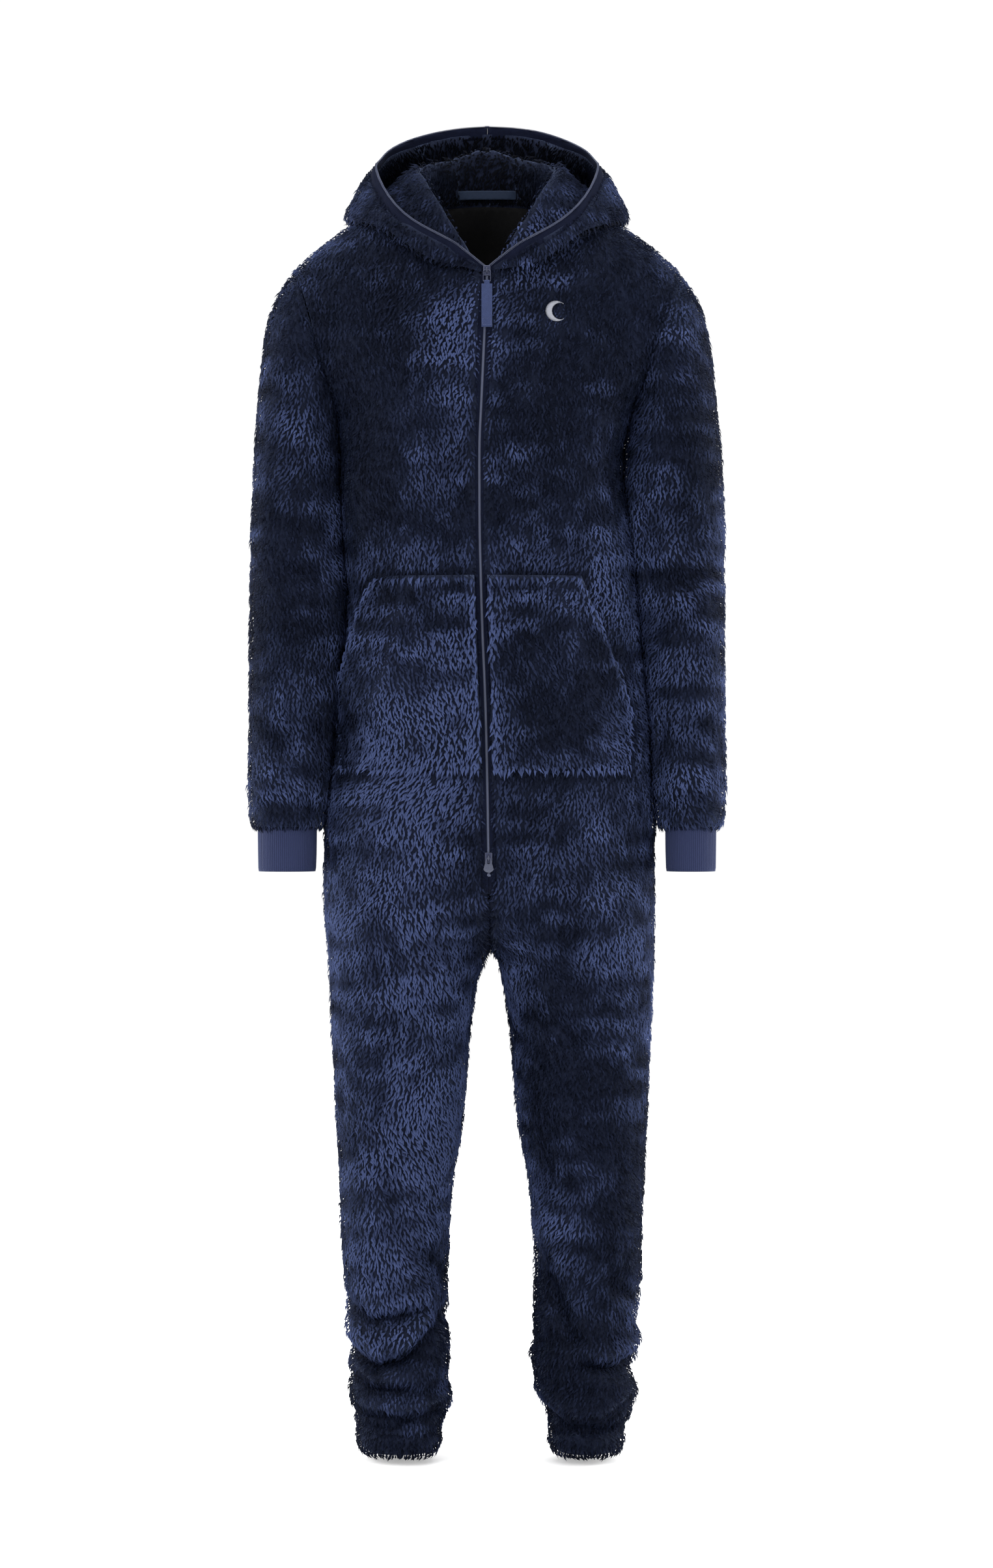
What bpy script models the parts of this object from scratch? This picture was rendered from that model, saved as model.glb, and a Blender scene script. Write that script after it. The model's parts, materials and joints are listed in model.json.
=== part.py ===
"""A hooded one-piece pajama in long-pile fleece, standing open as if worn, with nobody in it.

Left and right are the wearer's. The front faces -Y, +X is the wearer's left and +Z is up. Every height in a
table is measured from the foot of the leg hems, and the origin is where the wearer's shoulders hold the garment.
Cloth is modelled to the base of its pile. Each sewn piece is a wall between two skins, lofted through rows of
points, and pieces that share a seam share its points.
"""
from collections import namedtuple
from math import asin, cos, radians, sin

import bmesh
import bpy
import numpy as np
from mathutils import Matrix, Vector, kdtree

# Driving sizes, in metres and degrees
HOLD_HEIGHT = 1.500  # the shoulders' height above the leg hems, which is the origin's height
CLOTH = 0.003        # fleece, to the base of its pile
RIB = 0.002          # rib knit
TAPE = 0.0014        # zip tape
PATCH = 0.0012       # neck facing
GAP = 0.0003         # between pieces that meet
FULLNESS = 0.92      # 1 gives oval sections, less gives squarer ones
CHEST_FULLNESS = 0.75
CHEST_HEIGHT = 1.235
WAIST_HEIGHT = 1.065
COLUMNS = 8          # facets across each front or back
ZIP_HALF = 0.0052    # from the zip's middle to the cloth beside it
ZIP_FOOT = 0.705     # height of the zip's lower end
RIM_TAPE = 0.009     # how far the tape stands above the hood's rim
SIDES = {"left": 1, "right": -1}
FACES = {"front": -1, "back": 1}

# The seam round the neck
NECK_HALF = 0.088
NECK_FRONT = 0.095
NECK_BACK = 0.075
NECK_TOP = 1.540     # at the inner end of the shoulder seam
NECK_DROP = 0.105    # from there to the centre front
NECK_RISE = 0.008    # from there to the centre back

# The armholes' loops, each from the shoulder's tip down to the armpit
ARM_TOP = {"left": (0.232, 1.450), "right": (-0.234, 1.450)}
ARMPIT = {"left": (0.172, 1.270), "right": (-0.178, 1.270)}
ARM_DEPTH = 0.072

# Rows of the fronts and backs above the armpit. Each runs from the neck seam, at neck_turn degrees from the centre
# front, or from a height and depth on the centre line, to arm_turn degrees round the armhole. The cloth turns
# through bend degrees on the way, and a droop over 1 keeps the row high before it drops.
Yoke = namedtuple("Yoke", "neck_turn height depth arm_turn bend droop")
YOKES = {
    "front": [
        Yoke(90, None, None, 0, 20, 1.65),
        Yoke(62, None, None, 17, 26, 1.5),
        Yoke(36, None, None, 32, 31, 1.3),
        Yoke(18, None, None, 46, 35, 1.2),
        Yoke(0, None, None, 60, 40, 1.1),
        Yoke(None, 1.400, 0.104, 80, 46, 1.0),
        Yoke(None, 1.362, 0.112, 102, 55, 1.0),
        Yoke(None, 1.325, 0.119, 126, 66, 1.0),
        Yoke(None, 1.298, 0.124, 152, 77, 1.0),
        Yoke(None, 1.270, 0.127, 180, 90, 1.0),
    ],
    "back": [
        Yoke(90, None, None, 0, 20, 1.65),
        Yoke(112, None, None, 12, 24, 1.5),
        Yoke(134, None, None, 24, 28, 1.4),
        Yoke(155, None, None, 36, 33, 1.3),
        Yoke(168, None, None, 46, 36, 1.25),
        Yoke(180, None, None, 57, 40, 1.2),
        Yoke(None, 1.490, 0.100, 74, 46, 1.1),
        Yoke(None, 1.430, 0.115, 94, 54, 1.0),
        Yoke(None, 1.370, 0.124, 118, 64, 1.0),
        Yoke(None, 1.320, 0.128, 148, 77, 1.0),
        Yoke(None, 1.270, 0.128, 180, 90, 1.0),
    ],
}

# Level rows below the armpit: the outer edge on each side, the inner edge (the centre line, or the inseam below the
# crotch), how far each leg's own tube has formed, and the depth in front of and behind the side seam.
Body = namedtuple("Body", "height right_out right_in left_in left_out formed front back")
BODY = [
    Body(1.235, -0.1715, -0.0088, -0.0088, 0.1610, 0.00, 0.130, 0.127),
    Body(1.180, -0.1710, -0.0088, -0.0088, 0.1620, 0.00, 0.132, 0.123),
    Body(1.125, -0.1690, -0.0085, -0.0085, 0.1710, 0.00, 0.133, 0.119),
    Body(1.065, -0.1660, -0.0070, -0.0070, 0.1785, 0.00, 0.134, 0.115),
    Body(1.000, -0.1680, -0.0050, -0.0050, 0.1850, 0.00, 0.134, 0.113),
    Body(0.940, -0.1740, -0.0024, -0.0024, 0.1905, 0.00, 0.135, 0.116),
    Body(0.850, -0.1840, 0.0001, 0.0001, 0.1965, 0.00, 0.1365, 0.1255),
    Body(0.765, -0.1930, 0.0015, 0.0015, 0.2010, 0.00, 0.137, 0.134),
    Body(0.715, -0.1950, 0.0025, 0.0025, 0.2020, 0.15, 0.136, 0.136),
    Body(0.680, -0.1955, 0.0030, 0.0030, 0.2020, 0.50, 0.133, 0.135),
    Body(0.654, -0.1940, 0.0040, 0.0040, 0.2015, 0.84, 0.127, 0.131),
    Body(0.637, -0.1925, 0.0046, 0.0046, 0.2012, 0.97, 0.120, 0.127),
    Body(0.628, -0.1920, 0.0050, 0.0050, 0.2010, 1.00, 0.115, 0.124),
    Body(0.608, -0.1910, -0.0070, 0.0170, 0.2005, 1.00, 0.109, 0.118),
    Body(0.575, -0.1895, -0.0160, 0.0230, 0.1995, 1.00, 0.103, 0.112),
    Body(0.500, -0.1865, -0.0250, 0.0320, 0.1960, 1.00, 0.0965, 0.102),
    Body(0.410, -0.1800, -0.0330, 0.0420, 0.1910, 1.00, 0.088, 0.092),
    Body(0.345, -0.1760, -0.0446, 0.0526, 0.1880, 1.00, 0.082, 0.086),
    Body(0.262, -0.1740, -0.0502, 0.0600, 0.1850, 1.00, 0.075, 0.079),
    Body(0.196, -0.1680, -0.0520, 0.0606, 0.1830, 1.00, 0.071, 0.075),
    Body(0.170, -0.1675, -0.0505, 0.0602, 0.1800, 1.00, 0.070, 0.074),
    Body(0.148, -0.1650, -0.0515, 0.0604, 0.1775, 1.00, 0.069, 0.073),
    Body(0.127, -0.1630, -0.0530, 0.0606, 0.1750, 1.00, 0.068, 0.072),
    Body(0.107, -0.1630, -0.0505, 0.0615, 0.1750, 1.00, 0.068, 0.071),
    Body(0.087, -0.1610, -0.0480, 0.0650, 0.1765, 1.00, 0.067, 0.070),
    Body(0.066, -0.1590, -0.0510, 0.0720, 0.1740, 1.00, 0.066, 0.069),
    Body(0.048, -0.1580, -0.0565, 0.0770, 0.1690, 1.00, 0.065, 0.068),
    Body(0.034, -0.1560, -0.0580, 0.0785, 0.1655, 1.00, 0.063, 0.066),
]

# Rolls of cloth bunched above the leg hems: the height of each crest where it faces front, how much higher it runs
# on the outer side, how far it stands out, half its width and the way it faces (0 front, 90 outer side, 180 back).
Roll = namedtuple("Roll", "height slant depth half_width facing")
ROLLS = {
    "right": [
        Roll(0.150, 0.018, 0.0050, 0.016, -20),
        Roll(0.103, -0.012, 0.0060, 0.015, 25),
        Roll(0.062, 0.004, 0.0060, 0.014, 0),
        Roll(0.128, -0.014, 0.0055, 0.016, 165),
        Roll(0.078, 0.010, 0.0055, 0.015, 200),
    ],
    "left": [
        Roll(0.160, -0.016, 0.0045, 0.017, 30),
        Roll(0.122, 0.010, 0.0060, 0.014, 60),
        Roll(0.070, -0.006, 0.0065, 0.014, 10),
        Roll(0.136, 0.012, 0.0055, 0.016, 190),
        Roll(0.086, -0.008, 0.0050, 0.015, 160),
    ],
}
HOLLOW = 0.6        # the dips between the rolls, as a share of their depth
LEG_RADIUS = 0.065  # of a leg where it is bunched

# Rings of a leg hem: height, and its width as a share of the leg's last row
Hem = namedtuple("Hem", "height share")
HEMS = [Hem(0.034, 1.0), Hem(0.023, 0.99), Hem(0.014, 0.94), Hem(0.009, 0.85), Hem(0.0075, 0.76)]

# Rings of a sleeve, from the armhole's loop down: the outer edge, the inner edge on each side, the depth to the
# front and to the back, and how far the ring's middle swings forward.
Ring = namedtuple("Ring", "outer outer_height right_inner left_inner inner_height depth swing")
RINGS = [
    Ring(0.252, 1.421, 0.1835, 0.1780, 1.266, 0.0780, 0.001),
    Ring(0.265, 1.385, 0.1850, 0.1790, 1.246, 0.0755, 0.003),
    Ring(0.275, 1.310, 0.1850, 0.1770, 1.200, 0.0705, 0.008),
    Ring(0.282, 1.205, 0.1840, 0.1760, 1.142, 0.0665, 0.012),
    Ring(0.285, 1.130, 0.1825, 0.1835, 1.095, 0.0650, 0.016),
    Ring(0.286, 1.050, 0.1780, 0.1920, 1.035, 0.0640, 0.020),
    Ring(0.286, 0.930, 0.1885, 0.2030, 0.925, 0.0592, 0.026),
    Ring(0.286, 0.825, 0.1990, 0.2105, 0.824, 0.0540, 0.031),
    Ring(0.286, 0.793, 0.2040, 0.2130, 0.793, 0.0510, 0.033),
    Ring(0.284, 0.780, 0.2055, 0.2150, 0.780, 0.0460, 0.033),
    Ring(0.280, 0.7725, 0.2075, 0.2175, 0.7725, 0.0405, 0.033),
]
CUFF_HEIGHTS = [0.7725, 0.745, 0.718]
CUFF_NARROWING = 0.03  # from the top of a cuff to its foot, as a share

# Stations of the hood, by their turn round the neck seam from the centre front: the fold against the neck, the
# bottom of the pouch, the outer bulge and the rim, each as a distance outward from the seam and a rise above it.
Hood = namedtuple("Hood", "turn fold_out fold_up pouch_out pouch_up bulge_out bulge_up rim_out rim_up")
HOOD = [
    Hood(0, -0.001, 0.0035, -0.002, 0.007, -0.003, 0.0105, -0.004, 0.014),
    Hood(18, -0.003, 0.034, 0.004, 0.012, 0.013, 0.005, 0.016, 0.021),
    Hood(36, -0.008, 0.040, 0.015, -0.004, 0.028, -0.010, 0.025, 0.014),
    Hood(62, -0.006, 0.038, 0.030, -0.014, 0.050, -0.018, 0.041, 0.003),
    Hood(90, -0.003, 0.036, 0.042, -0.001, 0.079, -0.022, 0.052, 0.031),
    Hood(112, -0.003, 0.042, 0.048, -0.010, 0.090, -0.014, 0.059, 0.048),
    Hood(134, -0.002, 0.050, 0.056, -0.038, 0.116, -0.022, 0.080, 0.069),
    Hood(155, 0.000, 0.057, 0.061, -0.070, 0.128, -0.040, 0.101, 0.089),
    Hood(168, 0.002, 0.060, 0.062, -0.083, 0.132, -0.050, 0.109, 0.099),
    Hood(180, 0.004, 0.062, 0.063, -0.088, 0.133, -0.053, 0.111, 0.102),
]
HOOD_STEPS = 2        # facets along each stretch of a hood section
CENTRE_STATION = 7    # the hood's centre panel begins at this row of the table
FIRST_ZIP_ROW = 4     # the front's rows above this one end at the neck seam

# The pocket's free outline: how far it reaches from the zip at each height, and how far its cloth stands off there
Pocket = namedtuple("Pocket", "height right_reach left_reach lift")
POCKET = [
    Pocket(0.8425, 0.168, 0.167, 0.0),
    Pocket(0.885, 0.168, 0.168, 0.0),
    Pocket(0.925, 0.168, 0.163, 0.006),
    Pocket(0.975, 0.152, 0.147, 0.011),
    Pocket(1.025, 0.138, 0.132, 0.009),
    Pocket(1.0755, 0.124, 0.118, 0.0),
]
POCKET_SHARES = (0, 0.3, 0.55, 0.75, 0.9, 1)  # across, from the zip outward
POCKET_OFFSET = 0.0027  # from the front's skin to the pocket's, where it is sewn down
POCKET_INSET = 0.0075   # from the zip's middle to the pocket
POCKET_STEP = 0.004     # the stretch of the front's skin that gives the pocket's direction

# The neck facing, and the hanger loop over it
FACING_ROWS = 5
FACING_COLUMNS = 9
FACING_TOP = 0.006      # below the neck seam
FACING_DROP = 0.098
FACING_HALF = 0.056
FACING_FOOT_HALF = 0.010
FACING_ROUND = 2.2      # how full its rounded foot is
FACING_OFFSET = 0.002
LOOP_COLUMNS = 9
LOOP_END_STAND = 0.0036
LOOP_HALF = 0.036
LOOP_WIDTH = 0.011
LOOP_THICK = 0.0014
LOOP_STAND = 0.0085
LOOP_HEIGHT = 1.5555

# The zip's sliders, in the slider's own frame: X across the zip, -Y away from the cloth, Z up the zip
PLATE = (0.0088, 0.0022, 0.0128)
PLATE_STAND = 0.0018     # from the tape to the middle of the plate
PLATE_BEVEL = 0.0007
BRIDGE_REACH = 0.0062
BRIDGE_HALF = 0.0036
BRIDGE_WIRE = 0.0008
PIN_STAND = 0.0041       # the pullers' hinge line, away from the tape
BAIL_WIRE = 0.00055
BAIL = (0.0088, 0.0150)  # width and height
BAIL_CORNER = 0.0022
TAB = (0.0130, 0.0560, 0.0026)
TAB_BEVEL = 0.0006
TAB_DROP = 0.0028        # from the bail's bar to the tab
TAB_NECK = 0.0066        # width of the neck that folds through the bail
TAB_NECK_LENGTH = 0.0035
TAB_EYE = 0.0021
TAB_EYE_HOLE = 0.0011
TAB_LEAN = 17            # the top puller lies on the slope of the chest
DROP_RADIUS = 0.0068
DROP_LENGTH = 0.0175
DROP_THICK = 0.0013
DROP_BAR = 0.0013        # its top bar, which turns under the bridge
DROP_NECK = 0.0028
DROP_SLOT = 0.0019
DROP_SLOT_LENGTH = 0.003
TOP_SLIDER_HEIGHT = 1.4445
BOTTOM_SLIDER_HEIGHT = 0.7365

NAVY, RIB_BLUE, TAPE_BLUE = (0.012, 0.018, 0.055), (0.045, 0.055, 0.13), (0.02, 0.025, 0.07)
BLACK, PAINT, WEBBING = (0.004, 0.004, 0.005), (0.02, 0.022, 0.04), (0.06, 0.075, 0.17)


def at(x, y, height):
    """A point of the tables in the part's frame."""
    return np.array((x, y, height - HOLD_HEIGHT))


def neck_point(turn, side):
    """A point of the neck seam, turn degrees round from the centre front."""
    across, along = sin(radians(turn)), cos(radians(turn))
    if turn <= 90:
        x = ZIP_HALF + (NECK_HALF - ZIP_HALF) * across
        return at(side * x, -NECK_FRONT * along, NECK_TOP - NECK_DROP * along ** 2)
    return at(side * NECK_HALF * across, -NECK_BACK * along, NECK_TOP + NECK_RISE * along ** 2)


def arm_point(turn, name, facing):
    """A point of an armhole's loop, turn degrees from the shoulder's tip round the front or the back."""
    (top_x, top_height), (pit_x, pit_height) = ARM_TOP[name], ARMPIT[name]
    share = (1 - cos(radians(turn))) / 2
    height = top_height + (pit_height - top_height) * share
    return at(top_x + (pit_x - top_x) * share, facing * ARM_DEPTH * sin(radians(turn)), height)


def centre_x(height):
    """Where the zip and the centre seams run."""
    rows = [row for row in reversed(BODY) if row.formed < 1]
    heights = [row.height for row in rows] + [NECK_TOP - NECK_DROP]
    places = [row.left_in for row in rows] + [0.0]
    return float(np.interp(height, heights, places))


def zip_half(height):
    """Half the width that the zip takes out of the front at a height."""
    return ZIP_HALF if height > ZIP_FOOT else GAP / 2


def yoke_row(row, name, face):
    """Points from the neck seam or the centre line out to the armhole."""
    side, facing = SIDES[name], FACES[face]
    if row.neck_turn is None:
        inset = zip_half(row.height) if face == "front" else GAP / 2
        start = at(centre_x(row.height) + side * inset, facing * row.depth, row.height)
    else:
        start = neck_point(row.neck_turn, side)
        if row.neck_turn == 180:
            start[0] = side * GAP / 2
    end = arm_point(row.arm_turn, name, facing)
    bend = radians(row.bend)
    full = np.interp(row.bend, (45, 90), (1, CHEST_FULLNESS))
    points = []
    for share in np.linspace(0, 1, COLUMNS + 1):
        turn = bend * share
        across = (sin(turn) / sin(bend)) ** full
        round_off = ((cos(turn) - cos(bend)) / (1 - cos(bend))) ** full
        x = start[0] + (end[0] - start[0]) * across
        y = end[1] + (start[1] - end[1]) * round_off
        points.append((x, y, start[2] + (end[2] - start[2]) * across ** row.droop))
    return points


def roll_out(height, facing, name):
    """How far the bunched cloth of a leg stands out at a height, facing that many degrees from the front."""
    total = 0.0
    for roll in ROLLS[name]:
        crest = roll.height + roll.slant * sin(radians(facing))
        reach = (1 + cos(radians(facing - roll.facing))) / 2
        distance = (height - crest) / roll.half_width
        total += roll.depth * reach * (1 + HOLLOW) * np.exp(-distance ** 2)
        total -= roll.depth * reach * HOLLOW * np.exp(-(distance / 2) ** 2)
    return total


def body_row(row, name, face):
    """Points from the centre line or the inseam round to the side seam, at one height."""
    side, facing = SIDES[name], FACES[face]
    inner = row.left_in if side > 0 else row.right_in
    outer = row.left_out if side > 0 else row.right_out
    inner += side * (zip_half(row.height) if face == "front" else GAP / 2)
    axis = inner + row.formed * (outer - inner) / 2
    reach = abs(outer - axis)
    start = -asin(min(1.0, abs(axis - inner) / reach) ** (1 / FULLNESS))
    depth = row.front if face == "front" else row.back
    full = np.interp(row.height, (WAIST_HEIGHT, CHEST_HEIGHT), (FULLNESS, CHEST_FULLNESS))
    points = []
    for turn in np.linspace(start, radians(90), COLUMNS + 1):
        across = np.sign(sin(turn)) * abs(sin(turn)) ** full
        along = abs(cos(turn)) ** full
        faces_to = np.degrees(turn) if face == "front" else 180 - np.degrees(turn)
        swell = 1 + roll_out(row.height, faces_to, name) / LEG_RADIUS
        x = axis + side * reach * across * swell
        y = facing * depth * along * swell
        points.append(at(x, y, row.height))
    return points


def panel(name, face):
    """The outer skin of a front or a back, as rows of points from the shoulder seam to the leg hem."""
    rows = [yoke_row(row, name, face) for row in YOKES[face]]
    rows += [body_row(row, name, face) for row in BODY]
    return np.array(rows, float)


def leg_hem(name):
    """The outer skin of a leg hem, from the leg's last row down and in."""
    front, back = body_row(BODY[-1], name, "front"), body_row(BODY[-1], name, "back")
    ring = np.array(front + back[-2:0:-1])
    middle = ring.mean(axis=0)
    rows = []
    for hem in HEMS:
        row = middle + (ring - middle) * hem.share
        row[:, 2] = hem.height - HOLD_HEIGHT
        rows.append(row)
    return np.array(rows)


def arm_turns():
    """The places round a sleeve, over the front to the armpit and back up behind."""
    front = [(row.arm_turn, FACES["front"]) for row in YOKES["front"]]
    back = [(row.arm_turn, FACES["back"]) for row in YOKES["back"]]
    return front + back[-2:0:-1]


def sleeve_ring(ring, name):
    """Points round a sleeve at one of its rings."""
    inner_reach = ring.left_inner if name == "left" else ring.right_inner
    outer = at(SIDES[name] * ring.outer, -ring.swing, ring.outer_height)
    inner = at(SIDES[name] * inner_reach, -ring.swing, ring.inner_height)
    middle, half = (outer + inner) / 2, (outer - inner) / 2
    points = []
    for turn, facing in arm_turns():
        out, along = cos(radians(turn)), sin(radians(turn))
        out = np.sign(out) * abs(out) ** FULLNESS
        points.append(middle + half * out + at(0, facing * ring.depth * along ** FULLNESS, HOLD_HEIGHT))
    return points


def sleeve(name):
    """The outer skin of a sleeve, from the armhole's loop to the top of its cuff."""
    loop = [arm_point(turn, name, facing) for turn, facing in arm_turns()]
    return np.array([loop] + [sleeve_ring(ring, name) for ring in RINGS])


def sleeve_cuff(name):
    """The outer skin of a sleeve's cuff."""
    ring = np.array(sleeve_ring(RINGS[-1], name))
    middle = ring.mean(axis=0)
    rows = []
    for height in CUFF_HEIGHTS:
        share = (CUFF_HEIGHTS[0] - height) / (CUFF_HEIGHTS[0] - CUFF_HEIGHTS[-1])
        row = middle + (ring - middle) * (1 - CUFF_NARROWING * share)
        row[:, 2] = height - HOLD_HEIGHT
        rows.append(row)
    return np.array(rows)


def through(knots, steps):
    """A smooth run of points through the knots, steps to each stretch."""
    knots = np.array(knots, float)
    padded = np.vstack([2 * knots[0] - knots[1], knots, 2 * knots[-1] - knots[-2]])
    points = []
    for i in range(1, len(padded) - 2):
        before, start, end, after = padded[i - 1:i + 3]
        for share in np.arange(steps) / steps:
            bend = 2 * before - 5 * start + 4 * end - after
            turn = -before + 3 * start - 3 * end + after
            points.append(start + share * (end - before) / 2 + share ** 2 * bend / 2 + share ** 3 * turn / 2)
    return np.array(points + [knots[-1]])


def hood_station(row, side):
    """Points of the hood from the neck seam over the fold and round the pouch to the rim."""
    seam = neck_point(row.turn, side)
    out = np.array((side * sin(radians(row.turn)), -cos(radians(row.turn)), 0.0))
    steps = [
        (0, 0),
        (row.fold_out, row.fold_up),
        (row.pouch_out, row.pouch_up),
        (row.bulge_out, row.bulge_up),
        (row.rim_out, row.rim_up),
    ]
    knots = [seam + out * away + np.array((0, 0, up)) for away, up in steps]
    return through(knots, HOOD_STEPS)


def hood_stations():
    """The hood's whole outer skin, from the left end of the zip round behind the neck to the right end."""
    left = [hood_station(row, 1) for row in HOOD]
    right = [hood_station(row, -1) for row in HOOD]
    return np.array(left + right[-2::-1]).transpose(1, 0, 2)


def grid_normals(grid, closed=False):
    """Unit normals of a grid, before they are turned to the outer side."""
    along = np.gradient(grid, axis=0)
    if closed:
        across = np.roll(grid, -1, axis=1) - np.roll(grid, 1, axis=1)
    else:
        across = np.gradient(grid, axis=1)
    normals = np.cross(across, along)
    return normals / np.maximum(np.linalg.norm(normals, axis=2, keepdims=True), 1e-12)


def shared_normals(skins):
    """Averages the normals of all the skins at the points that they share, so that their walls meet evenly."""
    points = np.concatenate([skin.grid.reshape(-1, 3) for skin in skins.values()])
    normals = np.concatenate([skin.normals.reshape(-1, 3) for skin in skins.values()])
    tree = kdtree.KDTree(len(points))
    for index, point in enumerate(points):
        tree.insert(point, index)
    tree.balance()
    merged = np.array([
        normals[[index for _, index, _ in tree.find_range(point, 2.2 * GAP)]].sum(axis=0) for point in points
    ])
    merged /= np.maximum(np.linalg.norm(merged, axis=1, keepdims=True), 1e-12)
    start = 0
    for key, skin in skins.items():
        count = skin.grid.shape[0] * skin.grid.shape[1]
        found = merged[start:start + count].reshape(skin.grid.shape)
        skins[key] = skin._replace(normals=found)
        start += count


def trimmed(grid, closed):
    """The grid with its edges drawn in by half the gap that neighbours keep."""
    result = grid.copy()
    edges = [(0, 1), (-1, -2)]
    for edge, inner in edges:
        step = grid[inner] - grid[edge]
        result[edge] += step / np.linalg.norm(step, axis=1, keepdims=True) * GAP / 2
    if not closed:
        before = result.copy()
        for edge, inner in edges:
            step = before[:, inner] - before[:, edge]
            result[:, edge] += step / np.linalg.norm(step, axis=1, keepdims=True) * GAP / 2
    return result


def wall(name, outer, inner, colour, roughness=0.9, closed=False):
    """A closed wall between two skins of points, as an object."""
    rows, columns = outer.shape[:2]
    half = rows * columns
    last = columns if closed else columns - 1
    quads = []
    for i in range(rows - 1):
        for j in range(last):
            k = (j + 1) % columns
            quad = (i * columns + j, i * columns + k, (i + 1) * columns + k, (i + 1) * columns + j)
            quads += [quad, tuple(half + v for v in reversed(quad))]
    loops = [[(i, j) for j in range(columns)] for i in (0, rows - 1)]
    if closed:
        borders = [[(a, b) for a, b in zip(loop, loop[1:] + loop[:1])] for loop in loops]
    else:
        top, bottom = loops
        around = top + [(i, columns - 1) for i in range(1, rows)] + bottom[-2::-1]
        around += [(i, 0) for i in range(rows - 2, 0, -1)]
        borders = [list(zip(around, around[1:] + around[:1]))]
    points = np.concatenate([outer.reshape(-1, 3), inner.reshape(-1, 3)])
    for border in borders:
        for (i, j), (k, m) in border:
            a, b = i * columns + j, k * columns + m
            # Neighbours split the faces of a seam along the same diagonals, from the higher end outside
            if tuple(points[a].round(3)[::-1]) > tuple(points[b].round(3)[::-1]):
                quads += [(a, half + a, half + b), (a, half + b, b)]
            else:
                quads += [(b, half + b, half + a), (b, half + a, a)]
    mesh = bpy.data.meshes.new(name)
    mesh.from_pydata(points.tolist(), [], quads)
    return finished(name, mesh, colour, roughness)


def finished(name, mesh, colour, roughness=0.5, metallic=0.0):
    """An object of the part, with its faces turned outward and its own material."""
    work = bmesh.new()
    work.from_mesh(mesh)
    bmesh.ops.recalc_face_normals(work, faces=work.faces)
    work.to_mesh(mesh)
    work.free()
    return dressed(bpy.data.objects.new(name, mesh), colour, roughness, metallic)


def dressed(thing, colour, roughness=0.5, metallic=0.0):
    """Gives an object its material and its place in the part's collection."""
    material = bpy.data.materials.new(thing.name)
    material.use_nodes = True
    shader = material.node_tree.nodes["Principled BSDF"]
    shader.inputs["Base Color"].default_value = (*colour, 1)
    shader.inputs["Roughness"].default_value = roughness
    shader.inputs["Metallic"].default_value = metallic
    thing.data.materials.clear()
    thing.data.materials.append(material)
    bpy.data.collections["Onesie pajama"].objects.link(thing)
    return thing


Skin = namedtuple("Skin", "grid normals closed")


def skin_of(grid, outward, closed=False):
    """A skin whose normals point outward, judged at one point of it."""
    normals = grid_normals(grid, closed)
    i, j = grid.shape[0] // 2, 0 if closed else grid.shape[1] // 2
    if np.dot(normals[i, j], outward(grid, i, j)) < 0:
        normals = -normals
    return Skin(grid, normals, closed)


def from_middle(grid, i, j):
    """The way out of a tube at one of its points."""
    return grid[i, j] - grid[i].mean(axis=0)


def garment_skins():
    """The outer skins of all the fleece and rib pieces, with the normals that they share at the seams."""
    skins = {}
    for name in SIDES:
        for face, facing in FACES.items():
            skins[f"{face}_{name}"] = skin_of(panel(name, face), lambda g, i, j, f=facing: (0, f, 0))
        skins[f"sleeve_{name}"] = skin_of(sleeve(name), from_middle, closed=True)
        skins[f"sleeve_cuff_{name}"] = skin_of(sleeve_cuff(name), from_middle, closed=True)
        skins[f"leg_hem_{name}"] = skin_of(leg_hem(name), from_middle, closed=True)
    whole = hood_stations()
    last = whole.shape[1] - 1
    spans = {
        "hood_side_left": (0, CENTRE_STATION),
        "hood_centre": (CENTRE_STATION, last - CENTRE_STATION),
        "hood_side_right": (last - CENTRE_STATION, last),
    }
    full = skin_of(whole, lambda g, i, j: (0, 0, -1))
    for key, (start, end) in spans.items():
        skins[key] = Skin(whole[:, start:end + 1], full.normals[:, start:end + 1], False)
    shared_normals(skins)
    return skins


def build_cloth(skins):
    """Every fleece and rib piece."""
    for key, skin in skins.items():
        rib = key.startswith("sleeve_cuff")
        outer = trimmed(skin.grid, skin.closed)
        inner = outer - skin.normals * (RIB if rib else CLOTH)
        wall(key, outer, inner, RIB_BLUE if rib else NAVY, closed=skin.closed)


def tape_edges(name, skins):
    """The zip tape's sewn edge, its free edge and its outward directions, from the zip's foot to the hood's top."""
    side = SIDES[name]
    front, hood = skins[f"front_{name}"], skins[f"hood_side_{name}"]
    sewn, free, out = [], [], []
    rows = [i for i in range(FIRST_ZIP_ROW, len(front.grid)) if front.grid[i, 0, 2] > ZIP_FOOT - HOLD_HEIGHT]
    for i in reversed(rows):
        point = front.grid[i, 0]
        sewn.append(point - np.array((side * GAP, 0, 0)))
        free.append(np.array((centre_x(point[2] + HOLD_HEIGHT) + side * GAP / 2, point[1], point[2])))
        out.append(front.normals[i, 0] * (0, 1, 1))
    whole = hood_stations()
    whole = whole if name == "left" else whole[:, ::-1]
    for k in range(2, whole.shape[0], 2):
        point = whole[k, 0]
        sewn.append(point - np.array((side * GAP, 0, 0)))
        free.append(np.array((side * GAP / 2, point[1], point[2])))
        out.append(front.normals[FIRST_ZIP_ROW, 0] * (0, 1, 1))
    middle = whole.shape[1] // 2
    for k in range(1, middle + 1):
        rim = whole[-1, k]
        along = rim - whole[-2, k]
        along /= np.linalg.norm(along)
        point = rim + along * GAP
        tip = rim + along * RIM_TAPE
        if k == middle:
            point[0] = tip[0] = side * GAP
        sewn.append(point)
        free.append(tip)
        out.append(hood_out(whole, k))
    return np.array(sewn), np.array(free), np.array(out)


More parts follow.
